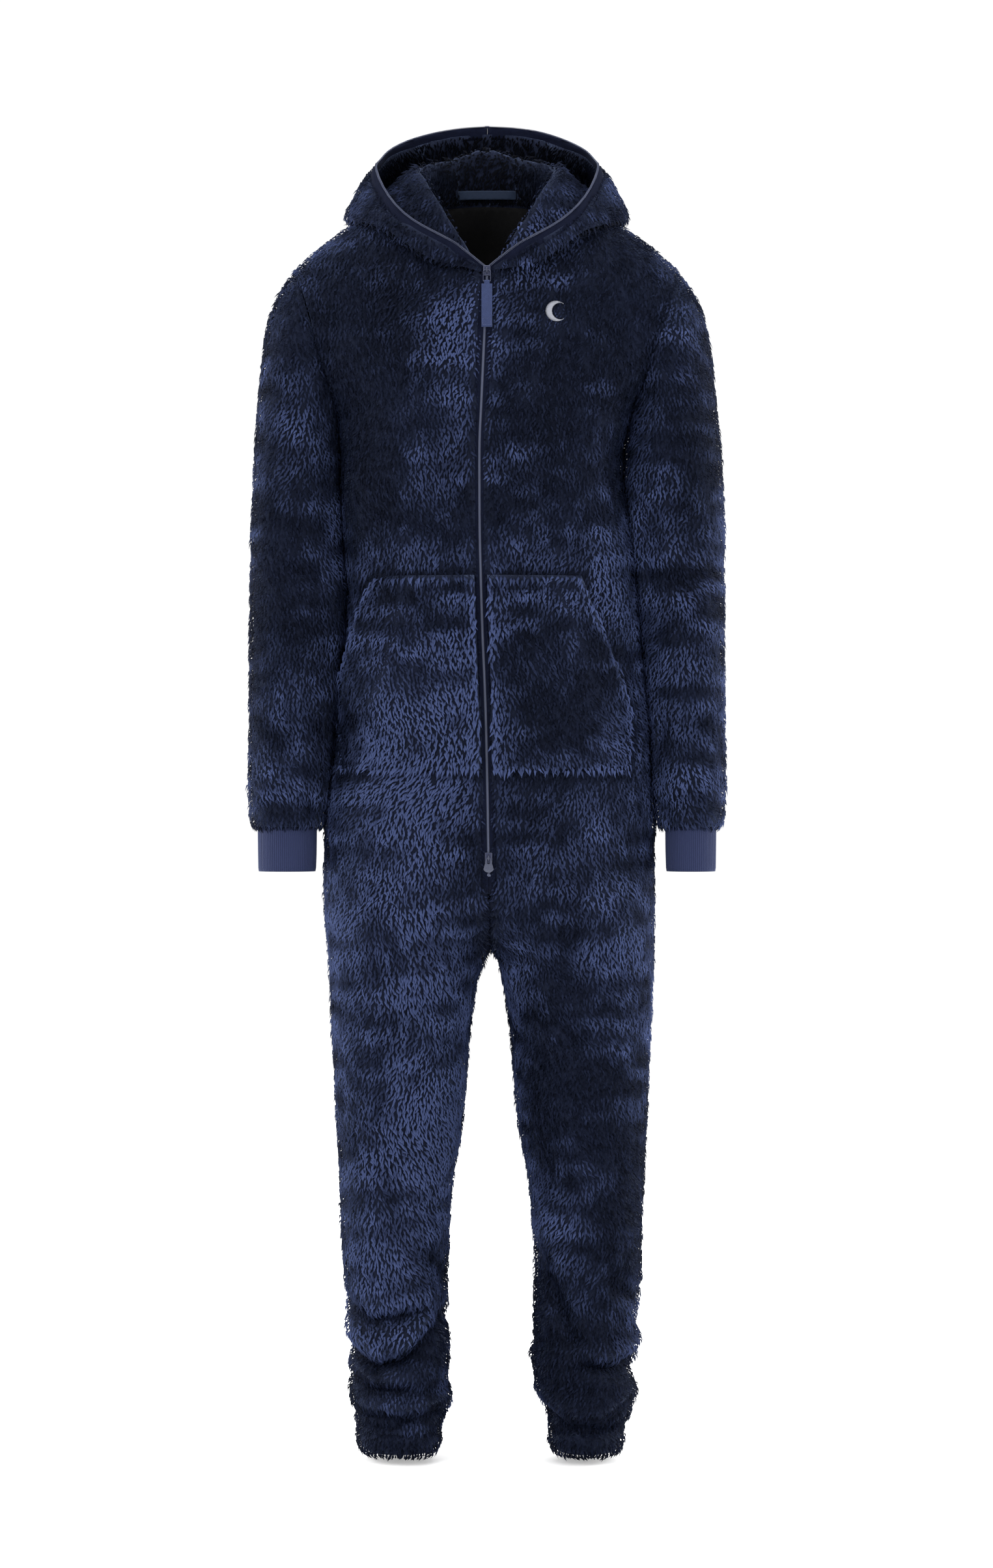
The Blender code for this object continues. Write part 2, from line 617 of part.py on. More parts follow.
def hood_out(whole, k):
    """The way out of the hood at its rim, at one station."""
    along = whole[-1, k] - whole[-2, k]
    round_neck = whole[-1, min(k + 1, whole.shape[1] - 1)] - whole[-1, k - 1]
    out = np.cross(round_neck, along)
    out /= np.linalg.norm(out)
    away = whole[-1, k] * np.array((1, 1, 0))
    return out if np.dot(out, away) > 0 else -out


def build_tapes(skins):
    """The two zip tapes."""
    for name in SIDES:
        sewn, free, out = tape_edges(name, skins)
        outer = np.stack([sewn, free], axis=1)
        wall(f"zip_tape_{name}", outer, outer - out[:, None] * TAPE, TAPE_BLUE, 0.7)


def on_skin(grid, x, height):
    """The point of a front's or a back's skin at a distance across and a height."""
    level = height - HOLD_HEIGHT
    reaching = [row for row in grid if row[:, 0].min() - GAP <= x <= row[:, 0].max() + GAP]
    rows = np.array([[np.interp(x, *sorted_pair(row[:, 0], row[:, axis])) for axis in (1, 2)] for row in reaching])
    order = np.argsort(rows[:, 1])
    return np.array((x, np.interp(level, rows[order, 1], rows[order, 0]), level))


def sorted_pair(keys, values):
    """Two lists in the order of the first."""
    order = np.argsort(keys)
    return keys[order], values[order]


def pocket_skin(name, grid):
    """Both skins of a half pocket, laid on the front's own points and moved out."""
    side = SIDES[name]
    inner, outer = [], []
    for row in POCKET:
        reach = row.left_reach if side > 0 else row.right_reach
        start = centre_x(row.height) + side * POCKET_INSET
        end = centre_x(row.height) + side * reach
        for share in POCKET_SHARES:
            across = start + (end - start) * share
            point = on_skin(grid, across, row.height)
            beside = on_skin(grid, across + side * POCKET_STEP, row.height)
            along = beside - point
            out = np.array((along[1], -along[0], 0)) * side
            out /= np.linalg.norm(out)
            if out[1] > 0:
                out = -out
            lift = POCKET_OFFSET + row.lift * share ** 1.5
            inner.append(point + out * lift)
            outer.append(point + out * (lift + CLOTH))
    shape = (len(POCKET), len(POCKET_SHARES), 3)
    return np.array(outer).reshape(shape), np.array(inner).reshape(shape)


def build_pockets(skins):
    """The two halves of the kangaroo pocket."""
    for name in SIDES:
        outer, inner = pocket_skin(name, skins[f"front_{name}"].grid)
        wall(f"pocket_{name}", outer, inner, NAVY)


def build_facing(skins):
    """The patch inside the back of the neck, laid on the backs' inner skins."""
    inside = {}
    for name in SIDES:
        skin = skins[f"back_{name}"]
        inside[name] = skin.grid - skin.normals * (CLOTH + FACING_OFFSET)
    outer, inner = [], []
    for share in np.linspace(0, 1, FACING_ROWS):
        half = (FACING_HALF - FACING_FOOT_HALF) * (1 - share ** FACING_ROUND) ** 0.5 + FACING_FOOT_HALF
        for part in np.linspace(-1, 1, FACING_COLUMNS):
            x = half * part
            seam = NECK_TOP + NECK_RISE * (1 - (x / NECK_HALF) ** 2)
            point = on_skin(inside["right" if x < 0 else "left"], x, seam - FACING_TOP - FACING_DROP * share)
            outer.append(point - np.array((0, GAP, 0)))
            inner.append(point - np.array((0, GAP + PATCH, 0)))
    shape = (FACING_ROWS, FACING_COLUMNS, 3)
    wall("neck_facing", np.array(outer).reshape(shape), np.array(inner).reshape(shape), BLACK, 0.8)


def build_loop():
    """The hanger loop, a strap that bows forward from the back of the neck."""
    outer, inner = [], []
    for part in np.linspace(-1, 1, LOOP_COLUMNS):
        x = LOOP_HALF * part
        wall_y = NECK_BACK * (1 - (x / NECK_HALF) ** 2) ** 0.5 - CLOTH
        stand = LOOP_END_STAND + LOOP_STAND * (1 - part ** 4)
        for z in (LOOP_HEIGHT + LOOP_WIDTH / 2, LOOP_HEIGHT - LOOP_WIDTH / 2):
            outer.append(at(x, wall_y - stand, z))
            inner.append(at(x, wall_y - stand - LOOP_THICK, z))
    shape = (LOOP_COLUMNS, 2, 3)
    wall("hanger_loop", np.array(outer).reshape(shape), np.array(inner).reshape(shape), TAPE_BLUE, 0.7)


def zip_frame(free, height):
    """The place and slope of the zip's face at a height, as a matrix. free is the free edge of a tape."""
    turn_off = int(np.argmax(np.diff(free[:, 2]) < 0)) or len(free)
    ends = []
    for step in (-PLATE[2] / 2, PLATE[2] / 2):
        level = height + step - HOLD_HEIGHT
        ends.append(np.array((0, np.interp(level, free[:turn_off, 2], free[:turn_off, 1]), level)))
    low, high = ends
    place = (low + high) / 2
    place[0] = centre_x(height)
    slope = np.arctan2(high[1] - low[1], high[2] - low[2])
    return Matrix.Translation(Vector(place)) @ Matrix.Rotation(-slope, 4, "X")


def curve_object(name, points, radius, cyclic=False, resolution=3):
    """A tube along points, as a curve with filled caps."""
    curve = bpy.data.curves.new(name, "CURVE")
    curve.dimensions = "3D"
    curve.bevel_depth = radius
    curve.bevel_resolution = resolution
    curve.use_fill_caps = not cyclic
    spline = curve.splines.new("POLY")
    spline.points.add(len(points) - 1)
    for spot, point in zip(spline.points, points):
        spot.co = (*point, 1)
    spline.use_cyclic_u = cyclic
    return bpy.data.objects.new(name, curve)


def outline_object(name, outlines, thickness):
    """A flat plate from closed outlines in its X-Z plane, the later ones being holes."""
    curve = bpy.data.curves.new(name, "CURVE")
    curve.dimensions = "2D"
    curve.fill_mode = "BOTH"
    curve.extrude = thickness / 2
    for points in outlines:
        spline = curve.splines.new("POLY")
        spline.points.add(len(points) - 1)
        for spot, (x, y) in zip(spline.points, points):
            spot.co = (x, y, 0, 1)
        spline.use_cyclic_u = True
    return bpy.data.objects.new(name, curve)


def as_mesh(thing):
    """A curve object's shape as a welded mesh, in its own place."""
    bpy.context.scene.collection.objects.link(thing)
    bpy.context.view_layer.update()
    shape = thing.evaluated_get(bpy.context.evaluated_depsgraph_get())
    mesh = bpy.data.meshes.new_from_object(shape)
    work = bmesh.new()
    work.from_mesh(mesh)
    bmesh.ops.remove_doubles(work, verts=work.verts, dist=0.00001)
    bmesh.ops.recalc_face_normals(work, faces=work.faces)
    work.to_mesh(mesh)
    work.free()
    mesh.transform(thing.matrix_world)
    bpy.data.objects.remove(thing)
    return mesh


def joined(base, added, name):
    """A base object with others fused to it by Boolean unions; the others become its hidden cutters."""
    for extra in added:
        extra.hide_render = True
        extra.display_type = "WIRE"
        bpy.data.collections["Cutters"].objects.link(extra)
        fuse = base.modifiers.new("fuse", "BOOLEAN")
        fuse.operation = "UNION"
        fuse.solver = "EXACT"
        fuse.object = extra
    base.name = name


def block(name, size, centre, bevel):
    """A box with rounded edges."""
    bpy.ops.mesh.primitive_cube_add(size=1)
    box = bpy.context.active_object
    box.name = name
    box.data.transform(Matrix.Translation(centre) @ Matrix.Diagonal((*size, 1)))
    soften = box.modifiers.new("soften", "BEVEL")
    soften.width = bevel
    soften.segments = 2
    bpy.context.collection.objects.unlink(box)
    return box


def arc_points(centre, radius, start, end, count):
    """Points of an arc in a plane, by degrees."""
    turns = np.radians(np.linspace(start, end, count))
    return [(centre[0] + radius * cos(t), centre[1] + radius * sin(t)) for t in turns]


def build_slider(name, frame):
    """A slider's plate, with the bridge that its puller hangs from."""
    plate = block(name, PLATE, (0, -PLATE_STAND, 0), PLATE_BEVEL)
    bow = [(y, z) for z, y in arc_points((0, 0), 1, 0, 180, 9)]
    path = [(0, -PLATE_STAND - (BRIDGE_REACH - PLATE_STAND) * y, BRIDGE_HALF * z) for y, z in bow]
    bridge_mesh = as_mesh(curve_object(name + "_bridge", path, BRIDGE_WIRE))
    bridge = bpy.data.objects.new(name + "_bridge", bridge_mesh)
    plate.matrix_world = frame
    bridge.matrix_world = frame
    joined(plate, [bridge], name)
    dressed(plate, PAINT, 0.35, 0.6)


def rounded_loop(width, height, corner):
    """A loop of points below its top bar, with rounded corners, as (x, z)."""
    half = width / 2 - corner
    points = arc_points((half, -corner), corner, 90, 0, 4) + arc_points((half, corner - height), corner, 0, -90, 4)
    points += arc_points((-half, corner - height), corner, -90, -180, 4)
    return points + arc_points((-half, -corner), corner, 180, 90, 4)


def placed(thing, frame):
    """Puts an object's origin at a frame, keeping its shape in that frame."""
    thing.matrix_world = frame
    return thing


def build_top_puller(frame):
    """The top slider's bail, and the webbing tab folded through it. Both hang from the hinge line."""
    loop = [(x, 0, z) for x, z in rounded_loop(BAIL[0], BAIL[1], BAIL_CORNER)]
    bail = bpy.data.objects.new("puller_top", as_mesh(curve_object("bail", loop, BAIL_WIRE, True)))
    dressed(placed(bail, frame), PAINT, 0.35, 0.6)
    thick = TAB[2] / 2
    drop = -BAIL[1]
    foot = drop - TAB_NECK_LENGTH
    eye = arc_points((0, drop), TAB_EYE, -40, 220, 12) + [(-thick, foot), (thick, foot)]
    hole = arc_points((0, drop), TAB_EYE_HOLE, 360, 30, 12)
    neck = outline_object("neck", [eye, hole], TAB_NECK)
    neck.matrix_world = Matrix.Rotation(radians(90), 4, "Z") @ Matrix.Rotation(radians(90), 4, "X")
    neck_mesh = bpy.data.objects.new("tab_neck", as_mesh(neck))
    tab = block("pull_tab", (TAB[0], TAB[2], TAB[1]), (0, 0, drop - TAB_DROP - TAB[1] / 2), TAB_BEVEL)
    tab.matrix_world = frame
    neck_mesh.matrix_world = frame
    joined(tab, [neck_mesh], "pull_tab")
    dressed(tab, WEBBING, 0.8)


def build_bottom_puller(frame):
    """The bottom slider's drop-shaped pull, whose top bar lies under the bridge."""
    low = -DROP_LENGTH + DROP_RADIUS
    top, bottom = DROP_BAR / 2 - DROP_NECK, -DROP_BAR / 2 - DROP_SLOT
    shape = arc_points((0, low), DROP_RADIUS, 205, 335, 14) + arc_points((0, top), DROP_NECK, 20, 160, 7)
    hole = arc_points((0, bottom), DROP_SLOT, 0, 180, 7)
    hole += arc_points((0, bottom - DROP_SLOT_LENGTH), DROP_SLOT, 180, 360, 7)
    plate = outline_object("drop", [shape, hole], DROP_THICK)
    plate.matrix_world = Matrix.Rotation(radians(90), 4, "X")
    drop = bpy.data.objects.new("puller_bottom", as_mesh(plate))
    dressed(placed(drop, frame), PAINT, 0.35, 0.6)


def build_zip_metal(skins):
    """The two sliders and their pullers."""
    free = tape_edges("left", skins)[1]
    for name, height in (("top", TOP_SLIDER_HEIGHT), ("bottom", BOTTOM_SLIDER_HEIGHT)):
        frame = zip_frame(free, height)
        build_slider(f"slider_{name}", frame)
        pin = frame @ Matrix.Translation((0, -PIN_STAND, 0))
        if name == "top":
            lean = Matrix.Rotation(radians(-TAB_LEAN), 4, "X")
            build_top_puller(Matrix.Translation(pin.translation) @ lean)
        else:
            build_bottom_puller(pin)


def main():
    for thing in list(bpy.data.objects):
        bpy.data.objects.remove(thing)
    for name in ("Onesie pajama", "Cutters"):
        collection = bpy.data.collections.new(name)
        bpy.context.scene.collection.children.link(collection)
    skins = garment_skins()
    build_cloth(skins)
    build_tapes(skins)
    build_pockets(skins)
    build_facing(skins)
    build_loop()
    build_zip_metal(skins)


main()
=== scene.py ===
"""A hooded fleece jumpsuit: thin cloth shells, long combed pile, rib cuffs, a two-way zip and its pulls."""

import json
from collections import namedtuple
from math import cos, pi, radians, sin, sqrt

import bmesh
import bpy
import numpy as np
from bpy.props import FloatProperty, FloatVectorProperty, IntProperty, PointerProperty
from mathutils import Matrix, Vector
from mathutils.bvhtree import BVHTree
from mathutils.kdtree import KDTree

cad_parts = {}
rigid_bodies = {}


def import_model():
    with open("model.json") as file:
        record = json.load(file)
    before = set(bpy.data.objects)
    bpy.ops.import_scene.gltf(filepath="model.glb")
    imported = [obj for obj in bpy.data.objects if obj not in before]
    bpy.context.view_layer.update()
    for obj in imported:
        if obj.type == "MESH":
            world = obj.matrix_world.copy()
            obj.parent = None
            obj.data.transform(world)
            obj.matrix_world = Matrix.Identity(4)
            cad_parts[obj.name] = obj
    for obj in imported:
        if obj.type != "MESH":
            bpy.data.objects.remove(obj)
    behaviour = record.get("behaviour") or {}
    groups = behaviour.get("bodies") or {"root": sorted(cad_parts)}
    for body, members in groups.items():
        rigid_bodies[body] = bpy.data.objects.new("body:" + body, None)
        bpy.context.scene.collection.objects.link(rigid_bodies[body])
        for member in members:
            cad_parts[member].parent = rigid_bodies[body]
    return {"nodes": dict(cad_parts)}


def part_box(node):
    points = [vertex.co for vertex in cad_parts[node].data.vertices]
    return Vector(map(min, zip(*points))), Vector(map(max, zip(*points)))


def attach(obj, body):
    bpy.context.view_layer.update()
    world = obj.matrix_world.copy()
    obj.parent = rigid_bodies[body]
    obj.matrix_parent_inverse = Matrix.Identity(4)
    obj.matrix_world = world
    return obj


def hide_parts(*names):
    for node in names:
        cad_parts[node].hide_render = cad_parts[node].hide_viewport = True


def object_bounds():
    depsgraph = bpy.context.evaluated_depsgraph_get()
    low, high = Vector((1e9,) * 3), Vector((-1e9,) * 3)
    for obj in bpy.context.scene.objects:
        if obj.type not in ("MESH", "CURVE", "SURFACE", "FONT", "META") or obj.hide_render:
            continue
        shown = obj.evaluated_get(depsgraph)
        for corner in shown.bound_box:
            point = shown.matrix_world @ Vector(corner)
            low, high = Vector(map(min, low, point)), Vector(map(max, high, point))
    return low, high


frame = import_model()
CAD_BOX = [list(corner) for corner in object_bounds()]

bl_info = {
    "name": "Fleece jumpsuit",
    "version": (1, 0, 0),
    "blender": (4, 5, 0),
    "location": "3D View > Sidebar > Jumpsuit",
    "description": "Builds a hooded fleece jumpsuit piece by piece",
    "category": "Object",
}

HEM_DEPTH = 1.5          # the foot of the leg hems, below the shoulders' hold
SIDES = {"left": 1, "right": -1}
OUTER, INNER, EDGE, UNKNOWN = range(4)

# Each fleece piece: its wall, the size of the rectangle that it is cut from, and what carries it
Cut = namedtuple("Cut", "wall width length area held rests_on")
CUTS = {
    "front_left": Cut(0.003, 0.36, 1.52, 0.385, "hung", ("sleeve_left",)),
    "front_right": Cut(0.003, 0.36, 1.52, 0.385, "hung", ("sleeve_right",)),
    "back_left": Cut(0.003, 0.36, 1.55, 0.385, "hung", ("front_left",)),
    "back_right": Cut(0.003, 0.36, 1.55, 0.385, "hung", ("front_right",)),
    "sleeve_left": Cut(0.003, 0.40, 0.70, 0.215, "hung", ("front_left",)),
    "sleeve_right": Cut(0.003, 0.40, 0.70, 0.215, "hung", ("front_right",)),
    "leg_hem_left": Cut(0.003, 0.36, 0.04, 0.0100, "gathered", ("front_left",)),
    "leg_hem_right": Cut(0.003, 0.36, 0.04, 0.0100, "gathered", ("front_right",)),
    "hood_side_left": Cut(0.003, 0.28, 0.36, 0.068, "folded", ("front_left",)),
    "hood_side_right": Cut(0.003, 0.28, 0.36, 0.068, "folded", ("front_right",)),
    "hood_centre": Cut(0.003, 0.20, 0.36, 0.058, "folded", ("back_left",)),
    "pocket_left": Cut(0.003, 0.19, 0.24, 0.037, "hung", ("front_left",)),
    "pocket_right": Cut(0.003, 0.19, 0.24, 0.037, "hung", ("front_right",)),
}

# Creases pressed into the cloth: where each runs (across and up from the hem's foot), on which face,
# how wide and deep its trough is, and how high the soft ridge along its upper side stands
Crease = namedtuple("Crease", "face run width depth ridge")
CREASES = [
    # the wearer's right ankle, which gathers in uneven rolls
    Crease("front", ((-0.180, 0.203), (-0.142, 0.175), (-0.055, 0.190)), 0.010, 0.009, 0.004),
    Crease("front", ((-0.178, 0.143), (-0.134, 0.117), (-0.094, 0.129), (-0.055, 0.176)), 0.009, 0.011, 0.005),
    Crease("front", ((-0.172, 0.110), (-0.141, 0.092), (-0.095, 0.092)), 0.007, 0.007, 0.003),
    Crease("front", ((-0.158, 0.060), (-0.099, 0.057), (-0.042, 0.068)), 0.007, 0.008, 0.004),
    Crease("front", ((-0.152, 0.046), (-0.113, 0.046), (-0.070, 0.053)), 0.005, 0.004, 0.002),
    Crease("front", ((-0.075, 0.262), (-0.055, 0.228), (-0.045, 0.205)), 0.009, 0.005, 0.002),
    # the wearer's left ankle
    Crease("front", ((0.055, 0.270), (0.085, 0.204), (0.112, 0.143)), 0.011, 0.008, 0.003),
    Crease("front", ((0.118, 0.121), (0.155, 0.115), (0.190, 0.132)), 0.009, 0.012, 0.006),
    Crease("front", ((0.060, 0.074), (0.101, 0.046), (0.140, 0.046), (0.190, 0.078)), 0.008, 0.009, 0.004),
    Crease("front", ((0.076, 0.040), (0.127, 0.035), (0.175, 0.046)), 0.005, 0.004, 0.002),
    Crease("front", ((0.150, 0.225), (0.178, 0.205), (0.192, 0.196)), 0.010, 0.006, 0.003),
    # thighs, knees and hips
    Crease("front", ((0.020, 0.560), (0.078, 0.541), (0.135, 0.504)), 0.016, 0.007, 0.003),
    Crease("front", ((0.020, 0.532), (0.065, 0.488), (0.112, 0.440)), 0.014, 0.006, 0.003),
    Crease("front", ((0.067, 0.440), (0.073, 0.385), (0.070, 0.325)), 0.014, 0.005, 0.002),
    Crease("front", ((-0.020, 0.575), (-0.080, 0.560), (-0.130, 0.530)), 0.015, 0.006, 0.003),
    Crease("front", ((-0.018, 0.540), (-0.062, 0.500), (-0.090, 0.452)), 0.013, 0.005, 0.002),
    Crease("front", ((-0.120, 0.400), (-0.112, 0.330), (-0.120, 0.270)), 0.016, 0.004, 0.002),
    # the torso: drag lines from the armholes and soft drops beside the zip
    Crease("front", ((-0.200, 1.340), (-0.150, 1.270), (-0.120, 1.170)), 0.020, 0.006, 0.003),
    Crease("front", ((0.200, 1.330), (0.160, 1.250), (0.138, 1.150)), 0.020, 0.006, 0.003),
    Crease("front", ((-0.060, 1.290), (-0.050, 1.200), (-0.056, 1.110)), 0.018, 0.003, 0.002),
    Crease("front", ((0.066, 1.250), (0.078, 1.160), (0.070, 1.095)), 0.018, 0.003, 0.002),
    # the back: drag lines from the armholes, folds over the seat, behind the knees and at the ankles
    Crease("back", ((0.205, 1.330), (0.155, 1.240), (0.120, 1.120)), 0.020, 0.007, 0.003),
    Crease("back", ((-0.200, 1.335), (-0.148, 1.250), (-0.125, 1.140)), 0.021, 0.006, 0.003),
    Crease("back", ((0.060, 1.090), (0.120, 1.040), (0.190, 1.020)), 0.017, 0.006, 0.003),
    Crease("back", ((-0.070, 1.060), (-0.130, 1.020), (-0.200, 1.010)), 0.018, 0.005, 0.003),
    Crease("back", ((0.020, 0.650), (0.080, 0.620), (0.150, 0.632)), 0.014, 0.007, 0.003),
    Crease("back", ((-0.020, 0.640), (-0.090, 0.612), (-0.160, 0.628)), 0.014, 0.006, 0.003),
    Crease("back", ((0.050, 0.372), (0.110, 0.350), (0.170, 0.372)), 0.012, 0.007, 0.004),
    Crease("back", ((-0.045, 0.362), (-0.100, 0.342), (-0.165, 0.355)), 0.012, 0.006, 0.003),
    Crease("back", ((0.060, 0.180), (0.120, 0.160), (0.180, 0.175)), 0.009, 0.009, 0.004),
    Crease("back", ((0.070, 0.110), (0.120, 0.095), (0.185, 0.108)), 0.008, 0.010, 0.005),
    Crease("back", ((0.075, 0.060), (0.125, 0.052), (0.180, 0.062)), 0.006, 0.006, 0.003),
    Crease("back", ((-0.055, 0.172), (-0.110, 0.150), (-0.175, 0.168)), 0.009, 0.009, 0.004),
    Crease("back", ((-0.050, 0.100), (-0.110, 0.085), (-0.165, 0.100)), 0.008, 0.009, 0.004),
    Crease("back", ((-0.050, 0.056), (-0.105, 0.048), (-0.155, 0.056)), 0.006, 0.005, 0.002),
    # the sleeves: elbows and wrists
    Crease("front", ((-0.290, 1.100), (-0.245, 1.075), (-0.195, 1.085)), 0.014, 0.005, 0.003),
    Crease("front", ((-0.290, 0.900), (-0.250, 0.880), (-0.200, 0.900)), 0.013, 0.005, 0.003),
    Crease("front", ((-0.285, 0.800), (-0.240, 0.812), (-0.205, 0.800)), 0.010, 0.004, 0.003),
    Crease("front", ((0.290, 1.095), (0.245, 1.070), (0.195, 1.090)), 0.014, 0.005, 0.003),
    Crease("front", ((0.295, 0.915), (0.250, 0.890), (0.205, 0.900)), 0.013, 0.006, 0.003),
    Crease("front", ((0.290, 0.805), (0.250, 0.815), (0.212, 0.802)), 0.010, 0.004, 0.003),
    Crease("back", ((-0.290, 1.060), (-0.245, 1.040), (-0.195, 1.062)), 0.013, 0.006, 0.003),
    Crease("back", ((-0.290, 0.850), (-0.250, 0.838), (-0.205, 0.850)), 0.011, 0.005, 0.003),
    Crease("back", ((0.290, 1.050), (0.245, 1.036), (0.195, 1.052)), 0.013, 0.006, 0.003),
    Crease("back", ((0.292, 0.855), (0.252, 0.842), (0.208, 0.858)), 0.011, 0.005, 0.003),
]

# The smooth woven and knitted trims that are cloth too
TRIMS = {
    "sleeve_cuff_left": Cut(0.002, 0.24, 0.06, 0.0125, "stretched", ("sleeve_left",)),
    "sleeve_cuff_right": Cut(0.002, 0.24, 0.06, 0.0125, "stretched", ("sleeve_right",)),
    "zip_tape_left": Cut(0.0014, 0.016, 1.28, 0.0175, "hung", ("front_left",)),
    "zip_tape_right": Cut(0.0014, 0.016, 1.28, 0.0175, "hung", ("front_right",)),
    "neck_facing": Cut(0.0012, 0.112, 0.11, 0.0098, "hung", ("hood_centre",)),
    "hanger_loop": Cut(0.0014, 0.072, 0.012, 0.0008, "hung", ("hood_centre",)),
}

# Broad areas of painted light and shade on the front, standing in for where the nap catches the light or turns
# away from it: the middle of each, across and up from the hem's foot, how far it reaches each way, and how much
# lighter it is
Area = namedtuple("Area", "x height wide tall change")
AREAS = [
    Area(-0.140, 1.28, 0.075, 0.23, -0.62),
    Area(0.140, 1.29, 0.090, 0.24, -0.62),
    Area(-0.035, 1.28, 0.040, 0.13, 0.12),
    Area(-0.090, 1.41, 0.022, 0.022, 0.30),
    Area(0.035, 1.32, 0.018, 0.06, -0.35),
    Area(0.110, 1.12, 0.060, 0.05, 0.15),
    Area(-0.060, 0.88, 0.110, 0.12, 0.50),
    Area(0.090, 0.96, 0.090, 0.08, -0.66),
    Area(-0.130, 0.58, 0.100, 0.30, 0.22),
    Area(-0.110, 0.26, 0.080, 0.12, -0.12),
    Area(0.130, 0.30, 0.070, 0.30, -0.22),
    Area(0.030, 0.60, 0.030, 0.08, 0.20),
    Area(0.000, 0.04, 0.400, 0.11, -0.70),
]

# Lines of stitching that part the pile: which piece, and where they run across and up from the hem's foot
Parting = namedtuple("Parting", "node run")
PARTINGS = [
    Parting("pocket_right", ((-0.104, 1.070), (-0.107, 1.040), (-0.111, 1.010), (-0.122, 0.975), (-0.140, 0.930))),
    Parting("pocket_left", ((0.089, 1.060), (0.100, 1.030), (0.109, 1.007), (0.116, 0.990), (0.134, 0.930))),
]

SIDE_SWELL = 0.006   # how far the sleeves and the body's sides bulge toward each other, where they touch
TAPE_FOOT = 0.022    # how far the tapes run on below the zip, under the pile
ANKLE_HEIGHT = 0.30  # below this the folds are deeper

# The stitched crescent on the wearer's left chest, across and up from the hem's foot
MOTIF_PLACE = (0.083, 1.394)

Ride = namedtuple("Ride", "body slot")
GARMENT = "garment"


# ---- Plain geometry ------------------------------------------------------------------------------------------

def unit(vectors):
    """Vectors of length one."""
    return vectors / np.maximum(np.linalg.norm(vectors, axis=-1, keepdims=True), 1e-12)


def lattice(points, seed):
    """A fixed scatter value from 0 to 1 for each whole-number point."""
    wrapped = points.astype(np.int64)
    mixed = wrapped[..., 0] * 73856093 ^ wrapped[..., 1] * 19349663 ^ wrapped[..., 2] * 83492791 ^ seed * 2654435761
    mixed = (mixed ^ (mixed >> 13)) * 1274126177 & 0xFFFFFFFF
    mixed = (mixed ^ (mixed >> 16)) * 668265263 & 0xFFFFFFFF
    return mixed.astype(np.float64) / 0xFFFFFFFF


def smooth_noise(points, size, seed):
    """Soft noise from -1 to 1 whose lumps are about that size. Size may be a number or three."""
    scaled = points / np.array(size, float)
    low = np.floor(scaled)
    share = scaled - low
    share = share * share * (3 - 2 * share)
    total = np.zeros(len(points))
    for corner in np.ndindex(2, 2, 2):
        weight = np.prod(np.where(np.array(corner) == 1, share, 1 - share), axis=1)
        total += weight * lattice(low + np.array(corner), seed)
    return 2 * total - 1


def ramp(values, low, high):
    """A soft step from 0 at low to 1 at high."""
    share = np.clip((values - low) / (high - low), 0, 1)
    return share * share * (3 - 2 * share)


def mesh_arrays(mesh):
    """Points, triangles and each triangle's material index, as arrays."""
    mesh.calc_loop_triangles()
    points = np.empty(len(mesh.vertices) * 3, np.float32)
    mesh.vertices.foreach_get("co", points)
    corners = np.empty(len(mesh.loop_triangles) * 3, np.int32)
    mesh.loop_triangles.foreach_get("vertices", corners)
    kinds = np.empty(len(mesh.loop_triangles), np.int32)
    mesh.loop_triangles.foreach_get("material_index", kinds)
    return points.reshape(-1, 3).astype(float), corners.reshape(-1, 3), kinds


def made(name, mesh, material, ride, smooth=True):
    """An object of the garment, with its material, riding on its body."""
    thing = bpy.data.objects.new(name, mesh)
    bpy.context.scene.collection.objects.link(thing)
    mesh.materials.clear()
    mesh.materials.append(material)
    mesh.polygons.foreach_set("use_smooth", np.full(len(mesh.polygons), smooth))
    mesh.update()
    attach(thing, ride.body)
    return thing


def mesh_of(name, points, faces):
    """A mesh from an array of points and one of faces with equal numbers of corners."""
    mesh = bpy.data.meshes.new(name)
    points, faces = np.asarray(points, np.float32), np.asarray(faces, np.int32)
    count, corners = faces.shape
    mesh.vertices.add(len(points))
    mesh.vertices.foreach_set("co", points.ravel())
    mesh.loops.add(count * corners)
    mesh.loops.foreach_set("vertex_index", faces.ravel())
    mesh.polygons.add(count)
    mesh.polygons.foreach_set("loop_start", np.arange(count, dtype=np.int32) * corners)
    mesh.update(calc_edges=True)
    return mesh


def repeated(points, faces, places):
    """Copies of one small shape at each of the 4 x 4 places, as one array of points and one of faces."""
    points, faces, places = np.asarray(points, float), np.asarray(faces), np.asarray(places, float)
    turned = np.einsum("nij,pj->npi", places[:, :3, :3], points) + places[:, None, :3, 3]
    shifted = faces[None] + (np.arange(len(places)) * len(points))[:, None, None]
    return turned.reshape(-1, 3), shifted.reshape(-1, faces.shape[1])


# ---- Cloth shells --------------------------------------------------------------------------------------------

